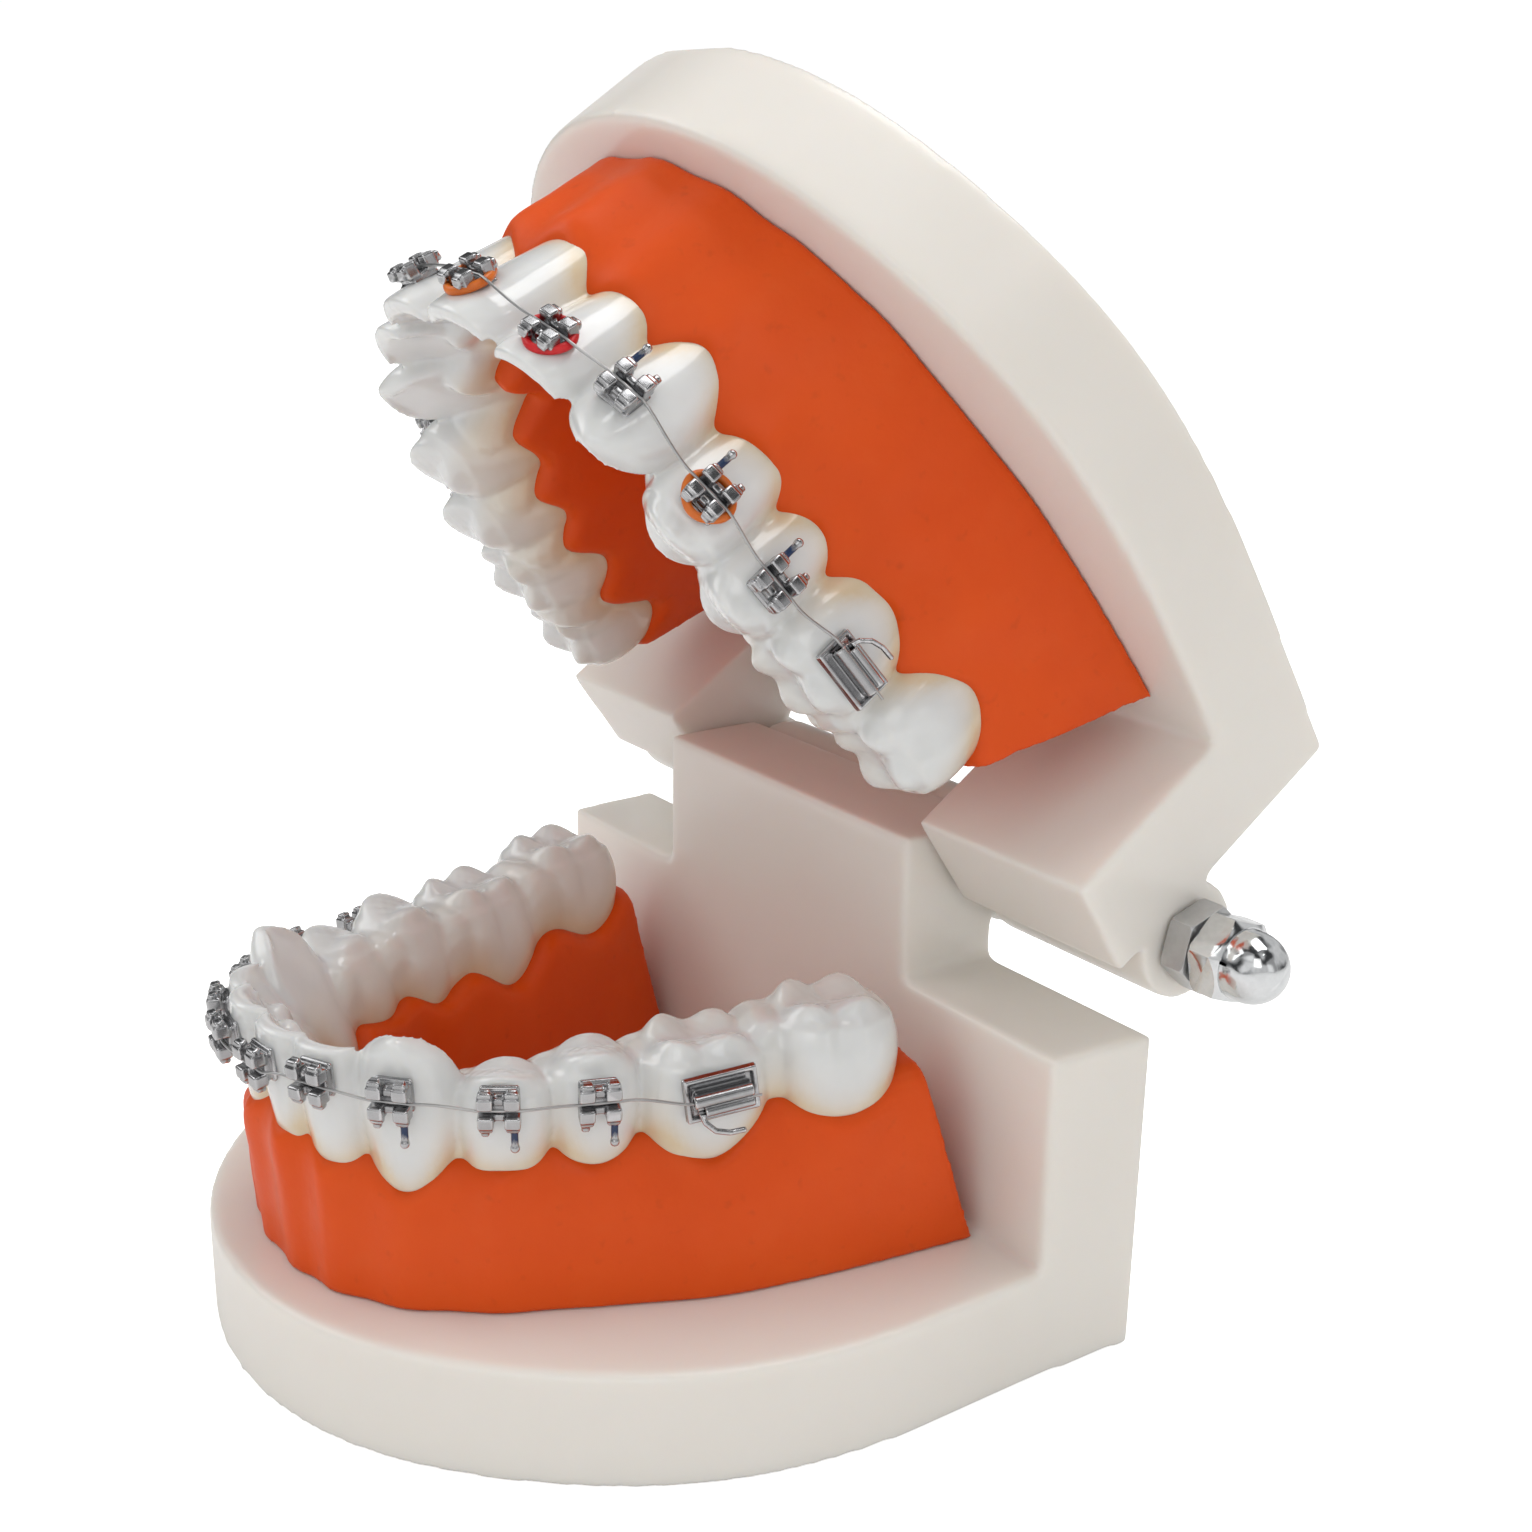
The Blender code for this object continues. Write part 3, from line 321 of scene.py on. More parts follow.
class Arch:
    def __init__(self, teeth, end, foot, papilla, sign, y_shift):
        self.teeth, self.sign, self.y_shift = teeth, sign, y_shift
        half = [(t[1], t[2], t[3]) for t in teeth] + [(end[0], end[1], 90.0)]
        pts = [(-x, y, -a) for x, y, a in half[::-1]] + [(x, y, a) for x, y, a in half]
        xy = np.array([p[:2] for p in pts])
        self.s = np.concatenate([[0], np.cumsum(np.linalg.norm(np.diff(xy, axis=0), axis=1))])
        self.s -= self.s[-1] / 2
        self.curve = natural_spline(self.s, np.array(pts, float))
        count = len(teeth)
        self.tooth_s = list(self.s[-count - 1:-1])
        depth = [t[5] for t in teeth] + [teeth[-1][5] * 0.8]
        self.depth = natural_spline(self.s, np.array(depth[::-1] + depth))
        foot = list(foot)
        self.foot = natural_spline(self.s, np.array(foot[:0:-1] + foot[1:]))
        knots, values = [], []
        stations = [0.0] + self.tooth_s + [self.s[-1]]
        for i in range(len(stations) - 1):
            if i > 0:
                knots.append(stations[i])
                values.append(teeth[i - 1][6])
            mid = (stations[i] + stations[i + 1]) / 2 if i else 0.0
            knots.append(mid if i < len(stations) - 2 else stations[i] + (stations[i + 1] - stations[i]) * 0.55)
            values.append(papilla[min(i, len(papilla) - 1)])
        self.margin_knots, self.margin_values = np.array(knots), np.array(values)

    def frames(self, s):
        """Arrays of point, outward normal and direction at each s."""
        c = self.curve(s)
        a = np.radians(c[:, 2])
        zero = np.zeros(len(c))
        p = np.column_stack([c[:, 0], c[:, 1] + self.y_shift, zero])
        return (p, np.column_stack([np.sin(a), -np.cos(a), zero]), np.column_stack([np.cos(a), np.sin(a), zero]))

    def _cell(self, s):
        s = np.abs(s)
        k = self.margin_knots
        i = np.clip(np.searchsorted(k, s) - 1, 0, len(k) - 2)
        t = np.clip((s - k[i]) / (k[i + 1] - k[i]), 0, 1)
        return i, (1 - np.cos(np.pi * t)) / 2

    def margin(self, s):
        i, u = self._cell(s)
        v = self.margin_values
        return v[i] + (v[i + 1] - v[i]) * u

    def scallop(self, s):
        i, u = self._cell(s)
        return np.where(i % 2 == 1, 1 - u, u)


SECTIONS = {
    "incisor": ((-0.30, .40, .38, .38), (0.0, .43, .46, .46), (.28, .48, .50, .40), (.58, .51, .49, .18),
                (.85, .50, .46, -.08), (1.0, .44, .40, -.20)),
    "canine": ((-0.25, .40, .40, .40), (0.0, .43, .46, .46), (.28, .49, .50, .42), (.58, .54, .48, .26),
               (.80, .45, .42, .06), (.93, .31, .37, -.08), (1.0, .14, .32, -.16)),
    "premolar": ((-0.32, .42, .42, .42), (0.0, .46, .46, .46), (.40, .52, .50, .50), (.66, .50, .46, .46), (.80, .45, .40, .40)),
    "molar": ((-0.34, .43, .43, .43), (0.0, .47, .46, .46), (.40, .52, .50, .50), (.66, .50, .47, .47), (.80, .46, .42, .42)),
}
POWER = {"incisor": 2.3, "canine": 2.2, "premolar": 2.4, "molar": 2.8}
CUSPS = {
    "premolar": ((0.0, .27, 1.0, .40), (0.02, -.27, .78, .34)),
    "molar": ((-.27, .28, .93, .22), (.18, .28, .90, .22), (-.26, -.27, 1.0, .22), (.22, -.27, .90, .22)),
}


def crown_top(kind, m, f, width, depth, seed):
    """Share of the crown height over the chewing face: rounded cusps, and the grooves between them."""
    stack = []
    for cm, cf, amount, reach in CUSPS[kind]:
        d2 = ((m / width - cm) / reach) ** 2 + ((f / depth - cf) / reach) ** 2
        stack.append(amount * np.exp(-d2 * 0.8))
    top = np.max(stack, axis=0)
    wrinkle = 0.035 * np.sin(7 * m + 3 * seed) * np.cos(6 * f + seed) * np.exp(-((m / width) ** 2 + (f / depth) ** 2) * 9)
    return 0.815 + 0.185 * top + wrinkle * 0.6


def tooth_rings(kind, width, depth, gum, tip, flare, sign, seed, around=56):
    """Arrays (rings, around, 3) of m, f, z for one crown, and the point that closes it."""
    rows = np.array(SECTIONS[kind])
    spline = natural_spline(rows[:, 0], rows[:, 1:])
    high = abs(tip - gum)
    ang = 2 * np.pi * (np.arange(around) + 0.5) / around
    c, s = np.cos(ang), np.sin(ang)
    p = POWER[kind]
    cm = np.sign(c) * np.abs(c) ** (2 / p)
    sm = np.sign(s) * np.abs(s) ** (2 / p)
    rings = []

    def ring(share, a, front, back, height=None):
        m = a * width * cm
        f = np.where(s > 0, front, back) * depth * sm
        if kind == "molar":                                # the groove between the two cheek-side cusps
            f = f - 0.045 * depth * np.exp(-((m + 0.02 * width) / (0.09 * width)) ** 2) * np.sign(f) * smoothstep(.25, .66, share)
        k = height(m, f) if height else np.full(around, share)
        rings.append(np.column_stack([m, f + flare * np.maximum(k, 0) ** FLARE, gum + sign * high * k]))

    for h in np.linspace(rows[0, 0], rows[-1, 0], 26):
        ring(h, *spline([h])[0])
    a, front, back = rows[-1, 1:]
    if kind in CUSPS:
        for q in np.linspace(1, 0.06, 16)[1:]:
            def height(m, f, q=q):
                w = smoothstep(0, 0.34, 1 - q)
                return rows[-1, 0] + (crown_top(kind, m, f, width, depth, seed) - rows[-1, 0]) * w
            ring(1 - 0.3 * q, a * q * (1 - 0.0), front * q, back * q, height)
        zc = float(crown_top(kind, np.array([0.0]), np.array([0.0]), width, depth, seed)[0])
        apex = (0.0, flare * zc ** FLARE, gum + sign * high * zc)
    else:
        mid = (front - back) / 2 * depth
        base = rings[-1].copy()
        for q, up in ((0.75, .012), (0.4, .02)):
            r = base.copy()
            r[:, 0] *= q
            r[:, 1] = (r[:, 1] - mid - flare) * q + mid + flare
            r[:, 2] += sign * high * up
            rings.append(r)
        apex = (0.0, mid + flare, tip + sign * high * 0.022)
    return np.array(rings), apex


def crowns_mesh(jaw, arch):
    """All crowns of a jaw and the strip they stand on, as one moulded row."""
    bm = bmesh.new()
    for side in (-1, 1):
        for i, (kind, x, y, angle, width, depth, gum, tip, flare) in enumerate(arch.teeth):
            a = math.radians(angle * side)
            n = np.array((math.sin(a), -math.cos(a), 0))
            t = np.array((math.cos(a), math.sin(a), 0)) * side          # away from the midline on both sides
            centre = np.array((x * side, y + arch.y_shift, 0)) - n * depth * 0.5
            rings, apex = tooth_rings(kind, width, depth, gum, tip, flare, arch.sign, i * 1.7)
            pts = centre + rings[..., :1] * t + rings[..., 1:2] * n
            pts[..., 2] = rings[..., 2]
            rows = [[bm.verts.new(Vector(p) * MM) for p in ring] for ring in pts]
            for lo, hi in zip(rows, rows[1:]):
                for j in range(len(lo)):
                    k = (j + 1) % len(lo)
                    bm.faces.new((lo[j], lo[k], hi[k], hi[j]))
            top = centre + apex[0] * t + apex[1] * n
            top[2] = apex[2]
            tipv = bm.verts.new(Vector(top) * MM)
            for j in range(len(rows[-1])):
                bm.faces.new((rows[-1][j], rows[-1][(j + 1) % len(rows[-1])], tipv))
            bm.faces.new(rows[0][::-1])
    # the strip that joins neighbouring crowns up to their contacts
    last = arch.tooth_s[-1] + 1.0
    stations = np.linspace(-last, last, 260)
    p, n, t = arch.frames(stations)
    depth = arch.depth(stations)[:, 0]
    margin = arch.margin(stations)
    back = np.interp(np.abs(stations), [0, 8, 13, 20, 30, 60], [.62, .66, .78, .90, .92, .92])
    rise = np.interp(np.abs(stations), [0, 10, 18, 30, 60], [5.0, 5.0, 5.2, 5.2, 5.0])
    rows = []
    for j in range(len(stations)):
        o0, o1 = -1.15 - 0.04 * depth[j], -depth[j] * back[j]
        z0, z1 = margin[j] - arch.sign * 2.0, margin[j] + arch.sign * rise[j]
        sect = []
        for k in range(16):
            a = 2 * math.pi * k / 16
            co = math.copysign(abs(math.cos(a)) ** 0.7, math.cos(a))
            si = math.copysign(abs(math.sin(a)) ** 0.7, math.sin(a))
            sect.append(((o0 + o1) / 2 + (o0 - o1) / 2 * co, (z0 + z1) / 2 + (z1 - z0) / 2 * si))
        rows.append([bm.verts.new(Vector(tuple(p[j] + n[j] * o + np.array((0, 0, z)))) * MM) for o, z in sect])
    for lo, hi in zip(rows, rows[1:]):
        for j in range(16):
            k = (j + 1) % 16
            bm.faces.new((lo[j], lo[k], hi[k], hi[j]))
    bm.faces.new(rows[0])
    bm.faces.new(rows[-1][::-1])
    mesh = voxelled(mesh_of(bm, jaw + "_crowns_raw"), jaw + "_crowns", 0.2, 11, 0.5)
    # how creamy each point is: a cream tone near the gum line, painted shade in the hollows between crowns and painted
    # warm shade on the inner side
    co = np.empty(len(mesh.vertices) * 3)
    mesh.vertices.foreach_get("co", co)
    co = co.reshape(-1, 3) / MM
    sample = np.linspace(arch.s[0], arch.s[-1], 500)
    ps, ns, ts = arch.frames(sample)
    ds = arch.depth(sample)[:, 0]
    line = (ps - ns * ds[:, None] * 0.5)[:, :2]
    s_of = np.empty(len(co))
    off = np.empty(len(co))
    for i0 in range(0, len(co), 20000):
        block = co[i0:i0 + 20000, None, :2] - line[None]
        near = np.argmin((block ** 2).sum(2), axis=1)
        s_of[i0:i0 + 20000] = sample[near]
        off[i0:i0 + 20000] = ((co[i0:i0 + 20000, :2] - ps[near][:, :2]) * ns[near][:, :2]).sum(1)
    rise = (co[:, 2] - arch.margin(s_of)) * arch.sign
    # painted shade: the hollows between neighbouring crowns are made creamier
    between = 1 - arch.scallop(s_of)
    cream_and_shade = np.exp(-np.clip(rise, 0, None) / 0.9) * 0.75 + 0.50 * between ** 2 * np.exp(-np.clip(rise, 0, None) / 2.6)
    # painted warm shade: the inner side is made creamier just above its gum line, and a little creamier all over
    inner = 1 - smoothstep(-5.0, -2.8, off)
    base = np.interp(np.abs(s_of), (0, 8, 15, 30, 38, 46), (1.6, 2.2, 2.8, 2.8, 1.6, 0.3)) if arch.sign < 0 else 0.3
    above = np.clip(rise - base, 0, None)
    cream_and_shade = np.clip(cream_and_shade * (1 - inner) + inner * (1.0 * np.exp(-above / 1.9) + 0.12), 0, 1)
    attr = mesh.attributes.new("cream_and_shade", "FLOAT", "POINT")
    attr.data.foreach_set("value", cream_and_shade.astype(np.float32))
    return mesh


def gum_skin(jaw, arch, floor_z, slope, palate, collar):
    sign = arch.sign
    last = float(arch.s[-1]) - slope
    stations = np.linspace(-last, last, 420)
    depth = arch.depth(stations)[:, 0]
    foot = arch.foot(stations)[:, 0]
    margin = arch.margin(stations)
    bulge = arch.scallop(stations)
    lean = np.copysign(slope, stations) * np.clip(1 - (last - np.abs(stations)) / 9.0, 0, None)
    rise = margin - floor_z
    front = np.interp(np.abs(stations), [0, 14, 20, 30], [1.0, 1.0, .45, .15])      # root bulges fade to the back
    climb = np.interp(np.abs(stations), (0, 8, 15, 30, 38, 46), collar)      # how much further the inner side covers the crowns
    sections = []
    for j in range(len(stations)):
        b, f, d, m, r, w, e = bulge[j], foot[j], depth[j], margin[j], rise[j], front[j], climb[j]
        rim = -0.95 + 1.3 * b
        key = np.array([
            (f - 0.30 * (1 - b) * w, floor_z, 1.0),
            (f * 0.93 + 0.02 - 0.36 * (1 - b) * w, floor_z + r * 0.10, 0.86),
            (f * 0.72 + 0.22 - 0.46 * (1 - b) * w, floor_z + r * 0.32, 0.55),
            (f * 0.42 + 0.30 - 0.50 * (1 - b) * w, floor_z + r * 0.60, 0.28),
            (rim * 0.45 + 0.22 + 0.10 * b, floor_z + r * 0.82, 0.08),
            (rim + 0.12, m - sign * 0.55, 0.0),
            (rim - 0.12, m - sign * 0.12, 0.0),
            (rim - 0.55, m + sign * 0.02, 0.0),
            (-d * 0.5, m + sign * (0.3 + e * 0.5), 0.0),
            (-(d + 0.25 * b) + 0.3 + e * 0.12, m + sign * (0.02 + e), 0.0),
            (-(d + 0.55 + 0.35 * b) + e * 0.10, m - sign * (0.45 - e), 0.0),
            (-(d + 1.0 + 0.2 * b), m - sign * r * sign * 0.30, 0.15),
            (-(d + 1.8), floor_z + r * 0.25, 0.7),
            (-(d + 2.2), floor_z, 1.0),
        ])
        k = np.concatenate([[0], np.cumsum(np.linalg.norm(np.diff(key[:, :2], axis=0), axis=1) + 1e-3)])
        dense = np.linspace(0, k[-1], 46)
        sections.append(np.column_stack([np.interp(dense, k, key[:, c]) for c in range(3)]))
    sections = np.array(sections)
    for _ in range(2):                                     # round the joints of the section
        sections[:, 1:-1] = (sections[:, :-2] + 2 * sections[:, 1:-1] + sections[:, 2:]) / 4
    bm = bmesh.new()
    rows = []
    count = sections.shape[1]
    pts = np.zeros((len(stations), count, 3))
    for k in range(count):
        p, n, t = arch.frames(stations + lean * sections[:, k, 2])
        pts[:, k] = p + n * sections[:, k, :1]
        pts[:, k, 2] = sections[:, k, 1]
    for row in pts:
        rows.append([bm.verts.new(Vector(q) * MM) for q in row])
    for a, b in zip(rows, rows[1:]):
        for j in range(count):
            k = (j + 1) % count
            bm.faces.new((a[j], a[k], b[k], b[j]))
    bm.faces.new(rows[0])
    bm.faces.new(rows[-1][::-1])
    if palate:
        inner = []
        for s in np.linspace(-float(arch.s[-1]) + 0.6, float(arch.s[-1]) - 0.6, 121):
            p, n, t = (v[0] for v in arch.frames([s]))
            d = float(arch.depth([s])[0, 0])
            inner.append((p - n * (d + 1.2))[:2])
        inner = np.array(inner)
        rear = inner[0, 1]
        centre = np.array((0.0, inner[:, 1].mean() + 8.0))
        levels = [(1.0, 0.0)] + [(1 - 0.72 * u, -4.6 + 2.6 * math.sin(u * math.pi / 2)) for u in np.linspace(0, 1, 14)]
        rings = []
        for share, drop in levels:
            q = centre + (inner - centre) * share
            q[:, 1] = np.minimum(q[:, 1], rear)
            q[0, 1] = q[-1, 1] = rear
            rings.append([bm.verts.new(Vector((x, y, floor_z + drop)) * MM) for x, y in q])
        for a, b in zip(rings, rings[1:]):
            for j in range(len(a) - 1):
                bm.faces.new((a[j], a[j + 1], b[j + 1], b[j]))
            bm.faces.new((a[-1], a[0], b[0], b[-1]))
        bm.faces.new(rings[0])
        bm.faces.new(rings[-1][::-1])
    bmesh.ops.recalc_face_normals(bm, faces=bm.faces)
    mesh = voxelled(mesh_of(bm, jaw + "_gum_raw"), jaw + "_gum_skin", 0.25, 3, 0.5)
    wave = []
    for v in mesh.vertices:                                # the slight unevenness of hand-finished moulding
        q = v.co * 140
        wave.append(noise.noise(q) * 0.055 + noise.noise(q * 3.1) * 0.018)
    normals = [v.normal.copy() for v in mesh.vertices]
    low = floor_z + sign * 0.6
    for v, w, nn in zip(mesh.vertices, wave, normals):
        hold = min(1.0, abs(v.co.z / MM - floor_z) / 1.2)
        v.co += nn * (w * hold * MM)
    return mesh


# ---------------------------------------------------------------- bases
def lower_base():
    pts = d_outline(LOWER_OUTLINE, 161) + [0, REAR_Y]
    far, front = 60.0, REAR_Y - WALL_T
    body = boolean_chain("lower_base_block", prism(pts, 0, POST_TOP), [
        ("DIFFERENCE", box((-far, -far, PLATE_T), (far, front, far))),
        ("DIFFERENCE", box((POST_HALF, -far, WALL_TOP), (far, far, far))),
        ("DIFFERENCE", box((-far, -far, WALL_TOP), (-POST_HALF, far, far))),
        ("UNION", x_cylinder(BOSS_R, -POST_HALF + 0.2, POST_HALF - 0.2, REAR_Y + AXIS_BACK, AXIS_Z)),
        ("DIFFERENCE", x_cylinder(BORE_R, -far, far, REAR_Y + AXIS_BACK, AXIS_Z, 40)),
    ])
    return voxelled(body, "lower_base_moulding", 0.3, 14, 0.5)


def upper_base():
    pts = d_outline(UPPER_OUTLINE, 161) + [0, UP_REAR]
    far, front = 70.0, UP_REAR - UP_WALL_T
    body = boolean_chain("upper_base_block", prism(pts, UP_WALL_END, UP_TOP), [
        ("DIFFERENCE", box((-far, -far, -far), (far, front, UP_TOP - UP_PLATE_T))),
        ("DIFFERENCE", box((-SLOT_HALF, -far, -far), (SLOT_HALF, far, SLOT_TOP))),
        ("UNION", x_cylinder(BOSS_R, SLOT_HALF + 0.25, HALF_WIDTH - 0.1, 0, 0)),
        ("UNION", x_cylinder(BOSS_R, -HALF_WIDTH + 0.1, -SLOT_HALF - 0.25, 0, 0)),
        ("DIFFERENCE", x_cylinder(BORE_R, -far, far, 0, 0, 40)),
    ])
    return voxelled(body, "upper_base_moulding", 0.3, 14, 0.5)


# ---------------------------------------------------------------- brackets, tubes, wires, rings
def rounded(lo, hi, r=0.12, segments=3):
    bm = bmesh.new()
    bm.from_mesh(box(lo, hi))
    bmesh.ops.bevel(bm, geom=list(bm.edges), offset=r * MM, segments=segments, profile=0.5, affect="EDGES")
    return mesh_of(bm, "rounded")


def rod_between(a, b, r, segments=14):
    a, b = Vector(a), Vector(b)
    bm = bmesh.new()
    bmesh.ops.create_cone(bm, cap_ends=True, segments=segments, radius1=r * MM, radius2=r * MM, depth=(b - a).length * MM)
    turn = Vector((0, 0, 1)).rotation_difference((b - a).normalized()).to_matrix().to_4x4()
    bmesh.ops.transform(bm, matrix=Matrix.Translation((a + b) / 2 * MM) @ turn, verts=bm.verts)
    return mesh_of(bm, "rod")


def ball(c, r):
    bm = bmesh.new()
    bmesh.ops.create_uvsphere(bm, u_segments=16, v_segments=10, radius=r * MM)
    bmesh.ops.translate(bm, vec=Vector(c) * MM, verts=bm.verts)
    return mesh_of(bm, "ball")


def bracket(hook):
    """Local X along the arch, Y out of the crown, Z towards the tip; hook is -1, 0 or +1."""
    parts = [rounded((-1.3, 0.0, -1.22), (1.3, 0.46, 1.22), 0.22),
             rounded((-1.25, 0.25, -0.95), (1.25, 0.92, 0.95), 0.12)]
    for s in (-1, 1):
        x0, x1 = (0.34, 1.38) if s > 0 else (-1.38, -0.34)
        for z in (-1, 1):
            lo, hi = sorted((z * 0.30, z * 1.22))
            parts.append(rounded((x0, 0.75, lo), (x1, 1.80, hi), 0.15))
            # the wing's tip overhangs and curls back towards the crown
            lo, hi = sorted((z * 0.95, z * 1.56))
            parts.append(rounded((x0 + 0.06, 1.08, lo), (x1 - 0.06, 1.66, hi), 0.18))
            parts.append(rod_between((x0 + 0.2, 1.12, z * 1.42), (x1 - 0.2, 1.12, z * 1.42), 0.2))
    parts.append(rounded((-0.5, 0.75, 0.36), (0.5, 1.25, 0.86), 0.1))     # the web between the wings, each side of the slot
    parts.append(rounded((-0.5, 0.75, -0.86), (0.5, 1.25, -0.36), 0.1))
    if hook:
        x = 0.93 * hook
        parts += [rod_between((x, 1.3, -1.2), (x, 1.42, -2.75), 0.25), ball((x, 1.46, -2.85), 0.33),
                  rod_between((-x, 1.2, -1.3), (-x, 1.2, -1.95), 0.3)]
    return voxelled(joined("bracket_raw", parts), "bracket", 0.075, 2, 0.5, 0.4)


def molar_tube(hook):
    """A pad with a raised rim, the round buccal tube on it and the hook along the gum side."""
    parts = [rounded((-2.68, 0.0, -1.68), (2.68, 0.36, 1.68), 0.17),
             rounded((-2.62, 0.2, -1.62), (2.62, 0.62, -1.28), 0.1),
             rounded((-2.62, 0.2, 1.28), (2.62, 0.62, 1.62), 0.1),
             rounded((2.28, 0.2, -1.6), (2.62, 0.62, 1.6), 0.1),
             rounded((-2.62, 0.2, -1.6), (-2.28, 0.62, 1.6), 0.1),
             rounded((-2.0, 0.2, -0.62), (1.95, 1.1, 0.62), 0.12)]
    bore = []
    for z, r, x0, x1 in ((0.30, 0.46, -2.2, 2.0), (-0.58, 0.36, -1.5, 2.0)):
        parts.append(rod_between((x0 * hook, 1.22, z), (x1 * hook, 1.22, z), r, 22))
        bore.append(rod_between((x0 * hook - 0.4 * hook, 1.22, z), (x0 * hook + 0.9 * hook, 1.22, z), r * 0.55, 16))
    x = -1.75 * hook
    pts = [(x, 0.9, -0.6), (x + 0.15 * hook, 1.3, -1.35), (x + 0.75 * hook, 1.55, -2.0), (x + 1.7 * hook, 1.6, -2.35),
           (x + 2.7 * hook, 1.6, -2.4)]
    for a, b in zip(pts, pts[1:]):
        parts += [rod_between(a, b, 0.21), ball(b, 0.21)]
    mesh = voxelled(joined("tube_raw", parts), "tube", 0.07, 2, 0.5)
    mesh = boolean_chain("tube", mesh, [("DIFFERENCE", b) for b in bore])
    mesh = through(mesh, "molar_tube", ("DECIMATE", {"ratio": 0.4}))
    mesh.shade_smooth()
    mesh.set_sharp_from_angle(angle=math.radians(50))
    return mesh


def bracket_frame(arch, side, index, jaw):
    """Middle of a bracket's pad, its outward normal, the arch direction and the way to the tip, tilted with the crown."""
    kind, x, y, angle, width, depth, gum, tip, flare = arch.teeth[index]
    a = math.radians(angle * side)
    n = Vector((math.sin(a), -math.cos(a), 0))
    t = Vector((math.cos(a), math.sin(a), 0))
    z = BRACKET_Z[jaw][index] + (FAR_DROP[jaw][index] if side < 0 else 0)
    k = (z - gum) / (tip - gum)
    shares = SECTIONS[kind]
    at = [float(np.interp(k + d, [s[0] for s in shares], [s[2] for s in shares])) * depth for d in (-0.2, 0.0)]
    f = max(at) + 0.5 * flare * k ** FLARE + PAD_STANDOFF
    slope = (0.75 * flare * FLARE * k ** (FLARE - 1)) / abs(tip - gum) - 0.08
    tilt = math.atan(max(slope, 0.0))
    centre = Vector((x * side, y + arch.y_shift, z)) + n * (f - depth * 0.5) + t * side * BRACKET_SHIFT.get((jaw, index, side), 0)
    up = Vector((0, 0, float(arch.sign)))
    return centre, n * math.cos(tilt) - up * math.sin(tilt), t, up * math.cos(tilt) + n * math.sin(tilt)


def local_frame(centre, n, t, up):
    x = t if t.cross(n).dot(up) > 0 else -t
    m = Matrix.Identity(4)
    for row in range(3):
        m[row][0], m[row][1], m[row][2], m[row][3] = x[row], n[row], up[row], centre[row] * MM
    return m, x


def archwire_points(arch, jaw):
    runs = []
    for side, order in ((-1, range(5, -1, -1)), (1, range(0, 6))):
        for i in order:
            centre, n, t, up = bracket_frame(arch, side, i, jaw)
            half = 1.45 if i < 5 else 2.5
            mid = centre + n * (WIRE_DEPTH - 0.22)
            runs.append((mid - t * half, mid + t * half, t))
    points = []
    for j, (a, b, t) in enumerate(runs):
        if j:
            p0, p1 = runs[j - 1][1], a
            d = (p1 - p0).length
            m0, m1 = runs[j - 1][2] * d * 0.8, t * d * 0.8
            for u in np.linspace(0, 1, 9)[1:-1]:
                h = (2 * u ** 3 - 3 * u ** 2 + 1, u ** 3 - 2 * u ** 2 + u, -2 * u ** 3 + 3 * u ** 2, u ** 3 - u ** 2)
                q = p0 * h[0] + m0 * h[1] + p1 * h[2] + m1 * h[3]
                q.z += arch.sign * 0.16 * math.sin(math.pi * u) * (1 if j % 2 else 0.4)
                points.append(q)
        points += [a, (a + b) / 2, b]
    return points


def wire(name, points, radius):
    curve = bpy.data.curves.new(name, "CURVE")
    curve.dimensions = "3D"
    curve.bevel_depth = radius * MM
    curve.bevel_resolution = 4
    curve.use_fill_caps = True
    spline = curve.splines.new("POLY")
    spline.points.add(len(points) - 1)
    for p, q in zip(spline.points, points):
        p.co = (*(Vector(q) * MM), 1)
    obj = link(bpy.data.objects.new(name + "_path", curve))
    bpy.context.view_layer.update()
    mesh = bpy.data.meshes.new_from_object(obj.evaluated_get(bpy.context.evaluated_depsgraph_get()))
    bpy.data.objects.remove(obj, do_unlink=True)
    mesh.shade_smooth()
    return mesh


def elastic(major, minor, seed):
    bm = bmesh.new()
    rows = []
    for i in range(72):
        a = 2 * math.pi * i / 72
        r = major * (1 + 0.025 * math.cos(4 * a) + 0.01 * math.sin(2 * a + seed))
        rows.append([bm.verts.new(Vector(((r + minor * math.cos(b)) * math.cos(a), minor * 1.15 * math.sin(b)
                                          + 0.05 * math.cos(2 * a), (r + minor * math.cos(b)) * math.sin(a))) * MM)
                     for b in [2 * math.pi * j / 20 for j in range(20)]])
    for i in range(72):
        a, b = rows[i], rows[(i + 1) % 72]
        for j in range(20):
            k = (j + 1) % 20
            bm.faces.new((a[j], a[k], b[k], b[j]))
    mesh = mesh_of(bm, "elastic")
    mesh.shade_smooth()
    return mesh


# ---------------------------------------------------------------- hinge hardware
def hexagon(af, x0, x1):
    return x_cylinder(af / math.sqrt(3), x0, x1, 0, 0, 6)


def softened(mesh, name, width=0.08, angle=30):
    made = through(mesh, name, ("BEVEL", {"width": width * MM, "segments": 3, "limit_method": "ANGLE",
                                          "angle_limit": math.radians(25), "harden_normals": False}))
    made.shade_smooth()
    made.set_sharp_from_angle(angle=math.radians(angle))
    return made


def jam_nut():
    r = JAM_AF / math.sqrt(3)
    drum = turned([(-0.001, 0), (-0.001, r * .955), (0.28, r * 1.01), (JAM_T - 0.28, r * 1.01), (JAM_T, r * .955), (JAM_T, 0)], 96)
    made = boolean_chain("jam", hexagon(JAM_AF, -0.001 + 0.001, JAM_T), [
        ("INTERSECT", drum), ("DIFFERENCE", x_cylinder(1.55, -3, 6, 0, 0, 40))])
    return softened(made, "jam_nut")


